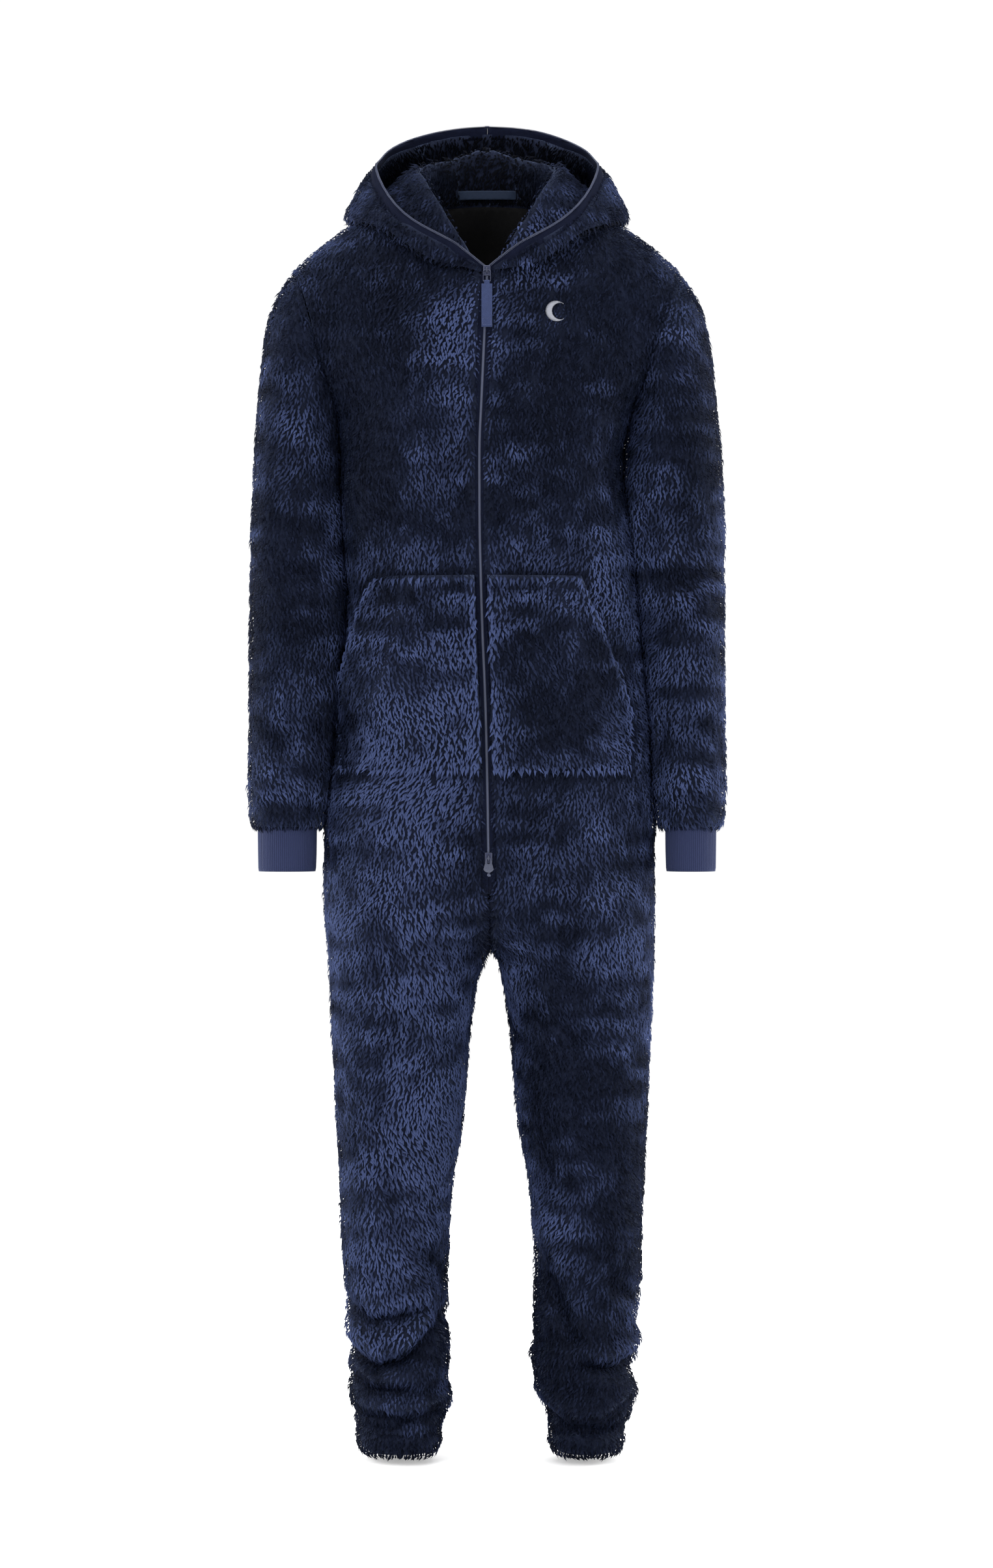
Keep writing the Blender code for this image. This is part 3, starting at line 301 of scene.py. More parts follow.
def skins_of(node, wall):
    """A bmesh of a node with whole points and quads, its outer and inner skins and its edges told apart."""
    points, corners, _ = mesh_arrays(frame["nodes"][node].data)
    whole = np.round(points * 1e6).astype(np.int64)
    _, first, index = np.unique(whole, axis=0, return_index=True, return_inverse=True)
    corners = index.reshape(-1)[corners]
    work = bmesh.new()
    verts = [work.verts.new(point) for point in points[first]]
    for a, b, c in corners:
        if len({a, b, c}) == 3:
            work.faces.new((verts[a], verts[b], verts[c]))
    for face in work.faces:
        crossing = any(edge.calc_length() < 1.3 * wall for edge in face.edges)
        face.material_index = EDGE if crossing else UNKNOWN
    skins = []
    for start in work.faces:
        if start.material_index != UNKNOWN or any(start in skin for skin in skins):
            continue
        skin, front = {start}, [start]
        while front:
            for edge in front.pop().edges:
                for other in edge.link_faces:
                    if other.material_index == UNKNOWN and other not in skin:
                        skin.add(other)
                        front.append(other)
        skins.append(skin)
    skins.sort(key=lambda skin: sum(face.calc_area() for face in skin), reverse=True)
    for kind, skin in enumerate(skins[:2]):
        for face in skin:
            face.material_index = kind
    for skin in skins[2:]:
        for face in skin:
            face.material_index = EDGE
    bmesh.ops.join_triangles(
        work, faces=work.faces, cmp_materials=True, angle_face_threshold=radians(60), angle_shape_threshold=pi
    )
    crease = work.edges.layers.float.new("crease_edge")
    pinned = work.verts.layers.float.new("crease_vert")
    rims = {vert: [] for vert in work.verts}
    for edge in work.edges:
        kinds = {face.material_index for face in edge.link_faces}
        edge[crease] = 1.0 if len(kinds) > 1 else 0.0
        if len(kinds) > 1:
            for vert in edge.verts:
                rims[vert].append((edge.other_vert(vert).co - vert.co).normalized())
    for vert, ways in rims.items():
        # a corner of the cut, where its border turns sharply
        vert[pinned] = 1.0 if len(ways) == 2 and ways[0].dot(ways[1]) > -0.6 else 0.0
    return work


def subdivided(work, name, levels):
    """The smooth form of a bmesh that still passes through its points. Its material indices tell its skins apart."""
    cage = bpy.data.meshes.new(name)
    work.to_mesh(cage)
    work.free()
    for _ in range(3):
        cage.materials.append(None)
    holder = bpy.data.objects.new(name, cage)
    bpy.context.scene.collection.objects.link(holder)
    smoother = holder.modifiers.new("Smooth", "SUBSURF")
    smoother.levels = smoother.render_levels = levels
    aim = np.empty(len(cage.vertices) * 3, np.float32)
    cage.vertices.foreach_get("co", aim)
    moved = aim.copy()
    for _ in range(3):
        graph = bpy.context.evaluated_depsgraph_get()
        smooth = holder.evaluated_get(graph).data
        reached = np.empty(len(smooth.vertices) * 3, np.float32)
        smooth.vertices.foreach_get("co", reached)
        moved += 0.85 * (aim - reached[:len(aim)])
        cage.vertices.foreach_set("co", moved)
        cage.update()
    graph = bpy.context.evaluated_depsgraph_get()
    mesh = bpy.data.meshes.new_from_object(holder.evaluated_get(graph))
    bpy.data.objects.remove(holder)
    bpy.data.meshes.remove(cage)
    return mesh


def radial(points, node):
    """The way out from the middle of the limb or body at each point, level with the floor."""
    side = -1 if node.endswith("right") else 1
    height = points[:, 2] + HEM_DEPTH
    if node.startswith("sleeve"):
        middle = np.full(len(points), side * 0.245)
        middle = np.where(height > 1.3, side * 0.235, middle)
        depth = np.interp(height, (0.72, 1.0, 1.2, 1.45), (-0.032, -0.02, -0.005, 0.0))
    else:
        leg = side * np.interp(height, (0.0, 0.3, 0.6), (0.118, 0.105, 0.10))
        middle = leg * (1 - ramp(height, 0.58, 0.80))
        depth = np.zeros(len(points))
    away = np.column_stack([points[:, 0] - middle, points[:, 1] - depth, np.zeros(len(points))])
    return unit(away)


def crease_shift(points, out):
    """How far each point moves along its way out, from the listed creases."""
    shift = np.zeros(len(points))
    flat = np.column_stack([points[:, 0], points[:, 2] + HEM_DEPTH])
    for crease in CREASES:
        facing = -out[:, 1] if crease.face == "front" else out[:, 1]
        near = np.full(len(points), 1e3)
        above = np.zeros(len(points))
        run = np.array(crease.run)
        lengths = np.linalg.norm(np.diff(run, axis=0), axis=1)
        along = np.concatenate([[0], np.cumsum(lengths)]) / lengths.sum()
        place = np.zeros(len(points))
        for i, (start, end) in enumerate(zip(run[:-1], run[1:])):
            step = end - start
            share = np.clip(((flat - start) @ step) / (step @ step), 0, 1)
            gap = flat - start - share[:, None] * step
            distance = np.linalg.norm(gap, axis=1)
            better = distance < near
            near = np.where(better, distance, near)
            above = np.where(better, gap[:, 1], above)
            place = np.where(better, along[i] + share * (along[i + 1] - along[i]), place)
        fade = np.sin(pi * np.clip(0.08 + 0.84 * place, 0, 1)) ** 0.6
        weight = fade * ramp(facing, -0.15, 0.35)
        signed = np.where(above > 0, near, -near)
        trough = np.exp(-(near / crease.width) ** 2)
        ridge = np.exp(-((signed - 1.9 * crease.width) / (1.2 * crease.width)) ** 2)
        strong = 1.5 if run[:, 1].max() < ANKLE_HEIGHT else 1.0
        shift += strong * weight * (crease.ridge * ridge - crease.depth * trough)
    return shift


def draped(points, node):
    """The points of a shell after its creases and swell."""
    if node.startswith(("hood", "zip", "neck", "hanger")):
        swell = smooth_noise(points, 0.06, 5) * 0.0012
        return points + swell[:, None] * np.array((0, 0, 1.0))
    out = radial(points, node)
    shift = crease_shift(points, out)
    height = points[:, 2] + HEM_DEPTH
    side = -1 if node.endswith("right") else 1
    to_sleeve = side * out[:, 0] * (-1 if node.startswith("sleeve") else 1)
    span = ramp(height, 0.74, 0.80) * ramp(height, 1.40, 1.33)
    shift += SIDE_SWELL * ramp(to_sleeve, 0.55, 0.95) * span * (not node.startswith("pocket"))
    swell = 0.0022 * smooth_noise(points, (0.07, 0.07, 0.16), 11) + 0.0010 * smooth_noise(points, 0.04, 12)
    calm = 1 - 0.7 * ramp(np.abs(points[:, 0]), 0.03, 0.0) * (height > 0.65)
    return points + ((shift + swell) * calm)[:, None] * out


def skin_normals(points, corners):
    """Point normals of some triangles only."""
    faces = np.cross(points[corners[:, 1]] - points[corners[:, 0]], points[corners[:, 2]] - points[corners[:, 0]])
    normals = np.zeros_like(points)
    for corner in range(3):
        np.add.at(normals, corners[:, corner], faces)
    return unit(normals)


def cloth_shell(node, cut, levels, material, ride):
    """The thin cloth that stands for one node, creased as listed."""
    mesh = subdivided(skins_of(node, cut.wall), f"{node}_cloth", levels)
    points, corners, kinds = mesh_arrays(mesh)
    points = draped(points, node)
    mesh.vertices.foreach_set("co", points.astype(np.float32).ravel())
    mesh.polygons.foreach_set("material_index", np.zeros(len(mesh.polygons), np.int32))
    thing = made(f"{node}_cloth", mesh, material, ride)
    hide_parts(node)
    return thing, points, corners, kinds


# ---- Pile ----------------------------------------------------------------------------------------------------

def scattered(points, corners, spacing, seed):
    """Even but unordered places on some triangles: their triangle and their place in it."""
    rng = np.random.default_rng(seed)
    a, b, c = (points[corners[:, i]] for i in range(3))
    areas = np.linalg.norm(np.cross(b - a, c - a), axis=1) / 2
    count = int(areas.sum() / spacing ** 2 * 3.2)
    chosen = rng.choice(len(corners), count, p=areas / areas.sum())
    u, v = rng.random(count), rng.random(count)
    over = u + v > 1
    u, v = np.where(over, 1 - u, u), np.where(over, 1 - v, v)
    weights = np.column_stack([1 - u - v, u, v])
    places = np.einsum("ni,nij->nj", weights, points[corners[chosen]])
    tree = KDTree(count)
    for i, place in enumerate(places):
        tree.insert(place, i)
    tree.balance()
    dropped = np.zeros(count, bool)
    kept = []
    reach = spacing * 0.82
    for i in range(count):
        if dropped[i]:
            continue
        kept.append(i)
        for _, j, _ in tree.find_range(places[i], reach):
            dropped[j] = True
    return chosen[kept], weights[kept]


def combed(places, normals, node, swirl):
    """Which way the nap lies at each place: down the garment, with swirls."""
    down = np.tile((0.0, 0.0, -1.0), (len(places), 1))
    if node.startswith("hood"):
        outward = np.column_stack([places[:, 0], places[:, 1] - 0.02, np.zeros(len(places))])
        down = down + 0.9 * unit(outward) * (1 - ramp(np.abs(normals[:, 2]), 0.2, 0.0))[:, None]
    along = unit(down - (down * normals).sum(axis=1)[:, None] * normals)
    aside = np.cross(normals, along)
    turn = 1.15 * smooth_noise(places, 0.085, 21) + 0.7 * smooth_noise(places, 0.030, 22)
    turn = swirl * turn
    return unit(np.cos(turn)[:, None] * along + np.sin(turn)[:, None] * aside)


def rim_tree(points, some):
    """A tree of close points along the border of a skin."""
    sides = np.sort(np.concatenate([some[:, [0, 1]], some[:, [1, 2]], some[:, [2, 0]]]), axis=1)
    once, count = np.unique(sides, axis=0, return_counts=True)
    border = once[count == 1]
    shares = np.linspace(0, 1, 6)[:, None, None]
    close = (points[border[:, 0]] * (1 - shares) + points[border[:, 1]] * shares).reshape(-1, 3)
    tree = KDTree(len(close))
    for i, place in enumerate(close):
        tree.insert(place, i)
    tree.balance()
    return tree


def beside_run(places, run):
    """How far each place is, level and upright, from a run of points across and up from the hem's foot."""
    flat = np.column_stack([places[:, 0], places[:, 2] + HEM_DEPTH])
    near = np.full(len(places), 1e3)
    for start, end in zip(np.array(run[:-1]), np.array(run[1:])):
        step = end - start
        share = np.clip(((flat - start) @ step) / (step @ step), 0, 1)
        near = np.minimum(near, np.linalg.norm(flat - start - share[:, None] * step, axis=1))
    return near


def from_rim(places, tree):
    """How far each place is from a border."""
    return np.array([tree.find(place)[2] for place in places])


def pile_height(places, node, rim):
    """How tall the pile stands, from 0 to 1: it is short at seams, beside the zip and round the motif."""
    height = places[:, 2] + HEM_DEPTH
    if node.startswith("pocket"):
        tall = 1.2 - 0.2 * ramp(rim, 0.004, 0.012)
    else:
        tall = 0.62 + 0.38 * ramp(rim, 0.0, 0.006)
    for parting in PARTINGS:
        if parting.node == node:
            tall *= 0.25 + 0.75 * ramp(beside_run(places, parting.run), 0.0005, 0.0045)
    if node == "front_left":
        away = np.hypot(places[:, 0] - MOTIF_PLACE[0], height - MOTIF_PLACE[1])
        tall *= 0.55 + 0.45 * ramp(away, 0.013, 0.021)
    if node.startswith("front"):
        beside = np.abs(places[:, 0] - zip_centre(height))
        tall *= 0.72 + 0.28 * ramp(beside, 0.005, 0.014)
        tab_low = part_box("pull_tab")[0]
        under = ramp(beside, 0.014, 0.009) * ramp(places[:, 2], tab_low.z - 0.006, tab_low.z)
        tall *= 1 - 0.55 * under
    return tall


def zip_centre(height):
    """How far across the zip runs at each height."""
    return np.interp(height, (0.70, 0.90, 1.12, 1.25, 1.37, 1.45), (0.002, -0.001, -0.008, -0.009, -0.002, 0.0))


def tufts(name, places, normals, flow, tall, patch, settings, seed):
    """Small leaning tufts, one at each place: a root in the cloth, a full middle and a fine tip."""
    rng = np.random.default_rng(seed)
    count = len(places)
    size = tall * rng.uniform(0.82, 1.2, count)
    length = settings.tuft_length * size * rng.uniform(0.85, 1.15, count)
    width = settings.tuft_width * rng.uniform(0.8, 1.25, count) * (0.6 + 0.4 * tall)
    lift = settings.pile_lift * size * rng.uniform(0.75, 1.2, count)
    sway = rng.normal(0, 0.22, count)
    flow = unit(flow * np.cos(sway)[:, None] + np.cross(normals, flow) * np.sin(sway)[:, None])
    aside = np.cross(normals, flow)
    curl = rng.normal(0, 0.12, count)
    root = places - normals * 0.0008
    middle = places + flow * (0.36 * length)[:, None] + normals * (lift * 0.72)[:, None]
    left = middle - aside * (width / 2)[:, None] - normals * (0.10 * width)[:, None]
    right = middle + aside * (width / 2)[:, None] - normals * (0.10 * width)[:, None]
    top = middle + normals * (0.34 * width)[:, None] - flow * (0.05 * length)[:, None]
    rise = lift * rng.uniform(0.55, 1.05, count)
    tip = places + flow * length[:, None] + normals * rise[:, None] + aside * (curl * length)[:, None]
    points = np.stack([root, left, top, right, tip], axis=1)
    faces = np.array([(0, 1, 2), (0, 2, 3), (0, 3, 1), (4, 2, 1), (4, 3, 2), (4, 1, 3)])
    shifted = faces[None] + (np.arange(count) * 5)[:, None, None]
    mesh = mesh_of(name, points.reshape(-1, 3), shifted.reshape(-1, 3))
    shade = np.zeros((count, 5, 4), np.float32)
    # painted shade on each tuft: darkest at its root, its sides darker than its top, lightest at its tip
    shade[:, :, 0] = np.array((0.35, 0.60, 0.68, 0.60, 1.0))
    shade[:, :, 1] = rng.random(count)[:, None]
    # the patch of painted light and shade that the nap is given
    shade[:, :, 2] = patch[:, None]
    shade[:, :, 3] = 1
    mesh.attributes.new("tuft", "FLOAT_COLOR", "POINT").data.foreach_set("color", shade.ravel())
    soft = np.stack([
        normals - 0.2 * flow, normals - 0.5 * aside, normals + 0.1 * flow, normals + 0.5 * aside,
        normals + 0.35 * flow,
    ], axis=1)
    mesh.polygons.foreach_set("use_smooth", np.full(len(mesh.polygons), True))
    mesh.normals_split_custom_set_from_vertices(unit(soft).reshape(-1, 3).tolist())
    side = int(np.ceil(np.sqrt(count)))
    cells = np.stack([np.arange(count) % side, np.arange(count) // side], axis=1) / side
    spots = np.array((
        ((0.06, 0.5), (0.34, 0.94), (0.34, 0.5)), ((0.06, 0.5), (0.34, 0.5), (0.34, 0.06)),
        ((0.72, 0.5), (0.82, 0.06), (0.82, 0.94)), ((0.62, 0.5), (0.34, 0.5), (0.34, 0.94)),
        ((0.62, 0.5), (0.34, 0.06), (0.34, 0.5)), ((0.98, 0.5), (0.86, 0.94), (0.86, 0.06)),
    ))
    layer = mesh.uv_layers.new(name="OFBake")
    uv = cells[:, None, None, :] + spots[None] / side
    layer.data.foreach_set("uv", uv.astype(np.float32).ravel())
    return mesh


def painted_nap_light(places, normals, node, rim):
    """How light the nap is painted, from 0 to 1: painted light and shade in random patches and listed areas, painted
    shade along seams, in creases and round the pockets, painted highlights on crease ridges and pocket edges, and
    below 0 painted shade deep inside the hood.
    """
    # painted light and shade in random patches, as if the combed nap turned toward the light or away from it
    broad = smooth_noise(places, (0.080, 0.080, 0.12), 31)
    streak = smooth_noise(places, (0.045, 0.045, 0.016), 32)
    fine = smooth_noise(places, (0.010, 0.010, 0.014), 33)
    patch = 0.54 + 0.60 * broad + 0.50 * streak + 0.34 * fine
    if node.startswith(("front", "pocket", "leg_hem")):
        # the listed areas of painted light and shade
        for area in AREAS:
            across = (places[:, 0] - area.x) / area.wide
            upright = (places[:, 2] + HEM_DEPTH - area.height) / area.tall
            patch += area.change * ramp(np.hypot(across, upright), 1.5, 0.3)
    if node.startswith("pocket"):
        # painted highlight along the pocket's edges
        return np.clip(patch + 0.45 * ramp(rim, 0.010, 0.002), 0, 1)
    # painted shade along the piece's seams and edges
    patch -= 0.45 * ramp(rim, 0.007, 0.001)
    if node.startswith("sleeve"):
        patch -= 0.08
    if node.startswith("hood"):
        patch -= 0.26
        # painted shade deep inside the hood: the patch goes below 0 there
        inside = ramp(places[:, 1], 0.025, 0.060) * ramp(-normals[:, 1], -0.1, 0.4)
        return np.clip(patch, 0, 1) * (1 - inside) - inside
    # painted shade in the creases' troughs and painted highlight on their ridges
    patch += 42 * crease_shift(places, radial(places, node))
    if node.startswith("front"):
        # painted shadow on the front round each pocket
        over = node.replace("front", "pocket")
        points, corners, kinds = mesh_arrays(subdivided(skins_of(over, CUTS[over].wall), "pocket_border", 1))
        patch -= 0.7 * ramp(from_rim(places, rim_tree(points, corners[kinds == OUTER])), 0.016, 0.004)
    return np.clip(patch, 0, 1)


def pile_on(node, points, corners, kinds, spacing, settings, material, hidden=None):
    """The pile of one fleece piece, on its outer skin, and on both skins of the hood."""
    both = node.startswith("hood")
    grown = []
    for kind in (OUTER, INNER) if both else (OUTER,):
        some = corners[kinds == kind]
        normals = skin_normals(points, some)
        chosen, weights = scattered(points, some, spacing, 100 + kind + sum(map(ord, node)))
        places = np.einsum("ni,nij->nj", weights, points[some[chosen]])
        out = unit(np.einsum("ni,nij->nj", weights, normals[some[chosen]]))
        if hidden:
            clear = np.array([not hidden(Vector(p), Vector(n)) for p, n in zip(places, out)])
            places, out = places[clear], out[clear]
        grown.append((places, out, from_rim(places, rim_tree(points, some))))
    places, out, rim = (np.concatenate(parts) for parts in zip(*grown))
    tall = pile_height(places, node, rim)
    flow = combed(places, out, node, radians(settings.nap_swirl))
    if node.startswith("front"):
        gap = zip_centre(places[:, 2] + HEM_DEPTH) - places[:, 0]
        pull = 0.9 * ramp(np.abs(gap), 0.014, 0.006) * np.sign(gap)
        flow = unit(flow + pull[:, None] * np.array((1.0, 0, 0)))
    mesh = tufts(
        f"{node}_pile", places, out, flow, tall, painted_nap_light(places, out, node, rim), settings,
        7 + sum(map(ord, node)),
    )
    return made(f"{node}_pile", mesh, material, Ride(GARMENT, "pile fleece"))


# ---- Materials -----------------------------------------------------------------------------------------------

def socketed_group(name, inputs, outputs):
    """A shader node group with its sockets, and its input and output nodes."""
    tree = bpy.data.node_groups.new(name, "ShaderNodeTree")
    for label, kind, value in inputs:
        socket = tree.interface.new_socket(label, in_out="INPUT", socket_type=kind)
        if value is not None:
            socket.default_value = value
    for label, kind in outputs:
        tree.interface.new_socket(label, in_out="OUTPUT", socket_type=kind)
    return tree, tree.nodes.new("NodeGroupInput"), tree.nodes.new("NodeGroupOutput")


def mixed(tree, factor, first, second, blend="MIX"):
    """A colour mix node. Each of its three may be a socket or a value."""
    node = tree.nodes.new("ShaderNodeMix")
    node.data_type = "RGBA"
    node.blend_type = blend
    for socket, value in ((node.inputs[0], factor), (node.inputs[6], first), (node.inputs[7], second)):
        if isinstance(value, bpy.types.NodeSocket):
            tree.links.new(value, socket)
        else:
            socket.default_value = value
    return node.outputs[2]


def sum_of(tree, operation, first, second):
    """A maths node's result. Each of its two may be a socket or a number."""
    node = tree.nodes.new("ShaderNodeMath")
    node.operation = operation
    for socket, value in ((node.inputs[0], first), (node.inputs[1], second)):
        if isinstance(value, bpy.types.NodeSocket):
            tree.links.new(value, socket)
        else:
            socket.default_value = value
    return node.outputs[0]


def noise(tree, scale, detail=2.0, stretch=(1, 1, 1)):
    """Noise over the piece's own place, stretched, as a value from 0 to 1."""
    place = tree.nodes.new("ShaderNodeTexCoord")
    mapping = tree.nodes.new("ShaderNodeMapping")
    mapping.inputs["Scale"].default_value = stretch
    texture = tree.nodes.new("ShaderNodeTexNoise")
    texture.inputs["Scale"].default_value = scale
    texture.inputs["Detail"].default_value = detail
    tree.links.new(place.outputs["Object"], mapping.inputs["Vector"])
    tree.links.new(mapping.outputs["Vector"], texture.inputs["Vector"])
    return texture.outputs["Fac"]


def shaded(name, roughness, sheen=0.0, sheen_roughness=0.4, sheen_tint=(1, 1, 1), metallic=0.0, coat=0.0, gloss=0.5):
    """A material with its Principled shader, whose plain numbers are set on its own sockets."""
    material = bpy.data.materials.new(name)
    material.use_nodes = True
    shader = material.node_tree.nodes["Principled BSDF"]
    shader.inputs["Roughness"].default_value = roughness
    shader.inputs["Metallic"].default_value = metallic
    shader.inputs["Coat Weight"].default_value = coat
    shader.inputs["Specular IOR Level"].default_value = gloss
    shader.inputs["Sheen Weight"].default_value = sheen
    shader.inputs["Sheen Roughness"].default_value = sheen_roughness
    shader.inputs["Sheen Tint"].default_value = (*sheen_tint, 1)
    return material, material.node_tree, shader


def bumped(tree, shader, height, strength, distance):
    """Feeds a height to the shader's normal."""
    bump = tree.nodes.new("ShaderNodeBump")
    bump.inputs["Strength"].default_value = strength
    bump.inputs["Distance"].default_value = distance
    tree.links.new(height, bump.inputs["Height"])
    tree.links.new(bump.outputs["Normal"], shader.inputs["Normal"])


def nap_group():
    """Colour of the fibres, with painted light and shade: dark near their roots and where the nap turns away, light
    at the tips, and darker still where the patch is below 0, deep in the hood's shade.
    """
    found = bpy.data.node_groups.get("Nap colour and painted shade")
    if found:
        return found
    tree, given, result = socketed_group(
        "Nap colour and painted shade",
        (
            ("Along", "NodeSocketFloat", 0.5), ("Random", "NodeSocketFloat", 0.5), ("Patch", "NodeSocketFloat", 0.5),
            ("Dark", "NodeSocketColor", (0.01, 0.015, 0.05, 1)), ("Light", "NodeSocketColor", (0.05, 0.08, 0.2, 1)),
        ),
        (("Color", "NodeSocketColor"), ("Height", "NodeSocketFloat")),
    )
    patch = sum_of(tree, "MAXIMUM", given.outputs["Patch"], 0)
    by_patch = sum_of(tree, "MULTIPLY", sum_of(tree, "POWER", patch, 1.6), 0.88)
    by_tuft = sum_of(tree, "MULTIPLY", given.outputs["Random"], 0.12)
    light = sum_of(tree, "ADD", by_patch, by_tuft)
    # painted shade along each tuft: dark at its root, light at its tip
    tip = sum_of(tree, "POWER", given.outputs["Along"], 1.3)
    share = sum_of(tree, "MULTIPLY", light, sum_of(tree, "ADD", sum_of(tree, "MULTIPLY", tip, 0.65), 0.35))
    colour = mixed(tree, share, given.outputs["Dark"], given.outputs["Light"])
    fibres = noise(tree, 900, 2.0, (1, 1, 0.25))
    # painted shade: a patch below 0, deep inside the hood, darkens the colour down to a fifth
    painted_deep_shade = tree.nodes.new("ShaderNodeMapRange")
    painted_deep_shade.inputs["From Min"].default_value = -1.0
    painted_deep_shade.inputs["From Max"].default_value = 0.0
    painted_deep_shade.inputs["To Min"].default_value = 0.2
    tree.links.new(given.outputs["Patch"], painted_deep_shade.inputs["Value"])
    shade = sum_of(tree, "ADD", sum_of(tree, "MULTIPLY", fibres, 0.5), 0.75)
    shade = sum_of(tree, "MULTIPLY", shade, painted_deep_shade.outputs[0])
    scaled = tree.nodes.new("ShaderNodeVectorMath")
    scaled.operation = "SCALE"
    tree.links.new(colour, scaled.inputs[0])
    tree.links.new(shade, scaled.inputs["Scale"])
    tree.links.new(scaled.outputs[0], result.inputs["Color"])
    tree.links.new(fibres, result.inputs["Height"])
    return tree


def weave_group():
    """Fine over-and-under threads: a height and a shade, from threads of one width."""
    found = bpy.data.node_groups.get("Plain weave")
    if found:
        return found
    tree, given, result = socketed_group(
        "Plain weave",
        (("Thread", "NodeSocketFloat", 0.0006),),
        (("Height", "NodeSocketFloat"), ("Shade", "NodeSocketFloat")),
    )
    place = tree.nodes.new("ShaderNodeTexCoord")
    apart = tree.nodes.new("ShaderNodeSeparateXYZ")
    tree.links.new(place.outputs["Object"], apart.inputs[0])
    turns = sum_of(tree, "DIVIDE", pi, given.outputs["Thread"])
    across = sum_of(tree, "SINE", sum_of(tree, "MULTIPLY", apart.outputs["X"], turns), 0)
    along = sum_of(tree, "SINE", sum_of(tree, "MULTIPLY", apart.outputs["Z"], turns), 0)
    height = sum_of(tree, "ADD", sum_of(tree, "MULTIPLY", sum_of(tree, "MULTIPLY", across, along), 0.5), 0.5)
    loose = noise(tree, 260, 3.0)
    shade = sum_of(tree, "ADD", sum_of(tree, "MULTIPLY", height, 0.35), sum_of(tree, "MULTIPLY", loose, 0.65))
    tree.links.new(height, result.inputs["Height"])
    tree.links.new(shade, result.inputs["Shade"])
    return tree


def placed_group(tree, group):
    """A group node in a material."""
    node = tree.nodes.new("ShaderNodeGroup")
    node.node_tree = group
    return node


def pile_material(settings):
    """Long combed fleece pile."""
    name = "Long fleece pile"
    if name in bpy.data.materials:
        return bpy.data.materials[name]
    material, tree, shader = shaded(name, 0.62, settings.sheen, 0.38, (0.42, 0.56, 1.0), gloss=0.03)
    nap = placed_group(tree, nap_group())
    nap.inputs["Dark"].default_value = (*settings.dark_colour, 1)
    nap.inputs["Light"].default_value = (*settings.light_colour, 1)
    tuft = tree.nodes.new("ShaderNodeAttribute")
    tuft.attribute_name = "tuft"
    apart = tree.nodes.new("ShaderNodeSeparateColor")
    tree.links.new(tuft.outputs["Color"], apart.inputs[0])
    for place, label in enumerate(("Along", "Random", "Patch")):
        tree.links.new(apart.outputs[place], nap.inputs[label])
    tree.links.new(nap.outputs["Color"], shader.inputs["Base Color"])
    bumped(tree, shader, nap.outputs["Height"], 0.35, 0.0006)
    return material


def backing_material(settings):
    """The fleece's ground cloth and its short inner nap."""
    name = "Fleece backing"
    if name in bpy.data.materials:
        return bpy.data.materials[name]
    material, tree, shader = shaded(name, 0.9, 0.15, 0.5, (0.42, 0.56, 1.0), gloss=0.08)
    nap = placed_group(tree, nap_group())
    # painted shade on the ground cloth under the pile: dimmer copies of the pile's colours, with its root shade at
    # Along 0.4
    nap.inputs["Dark"].default_value = (*(0.7 * value for value in settings.dark_colour), 1)
    nap.inputs["Light"].default_value = (*(0.45 * value for value in settings.light_colour), 1)
    nap.inputs["Along"].default_value = 0.4
    lumps = noise(tree, 320, 3.0, (1, 1, 0.5))
    tree.links.new(lumps, nap.inputs["Random"])
    tree.links.new(noise(tree, 14, 3.0, (1, 1, 0.6)), nap.inputs["Patch"])
    tree.links.new(nap.outputs["Color"], shader.inputs["Base Color"])
    bumped(tree, shader, lumps, 0.9, 0.0022)
    return material


def knit_material(settings):
    """Rib knit, whose fine stitches climb each rib."""
    material, tree, shader = shaded("Rib knit", 0.8, 0.15, 0.5, (0.5, 0.6, 1.0), gloss=0.2)
    rib = tree.nodes.new("ShaderNodeAttribute")
    rib.attribute_name = "rib"
    lumps = noise(tree, 1400, 2.0, (1, 1, 0.7))
    loose = noise(tree, 60, 2.0)
    # painted shade in the grooves between the ribs and painted highlight on their crests, mixed with random lumps
    by_rib = sum_of(tree, "MULTIPLY", rib.outputs["Fac"], 0.62)
    share = sum_of(tree, "ADD", by_rib, sum_of(tree, "MULTIPLY", lumps, 0.38))
    painted_deep_shade = tuple(0.42 * value for value in settings.rib_colour)
    worn_edge_and_lit_rib = tuple(1.12 * value for value in settings.rib_colour)
    colour = mixed(tree, share, (*painted_deep_shade, 1), (*worn_edge_and_lit_rib, 1))
    tinted = mixed(tree, sum_of(tree, "MULTIPLY", loose, 0.25), colour, (*settings.rib_colour, 1))
    tree.links.new(tinted, shader.inputs["Base Color"])
    bumped(tree, shader, lumps, 0.5, 0.0004)
    return material


def woven_material(name, colour, thread, roughness=0.75, sheen=0.15, gloss=0.2):
    """Woven tape, webbing or lining of one colour."""
    if name in bpy.data.materials:
        return bpy.data.materials[name]
    material, tree, shader = shaded(name, roughness, sheen, 0.4, (0.6, 0.7, 1.0), gloss=gloss)
    weave = placed_group(tree, weave_group())
    weave.inputs["Thread"].default_value = thread
    low = tuple(0.55 * value for value in colour)
    high = tuple(1.35 * value for value in colour)
    tree.links.new(mixed(tree, weave.outputs["Shade"], (*low, 1), (*high, 1)), shader.inputs["Base Color"])
    bumped(tree, shader, weave.outputs["Height"], 0.5, thread * 0.5)
    return material


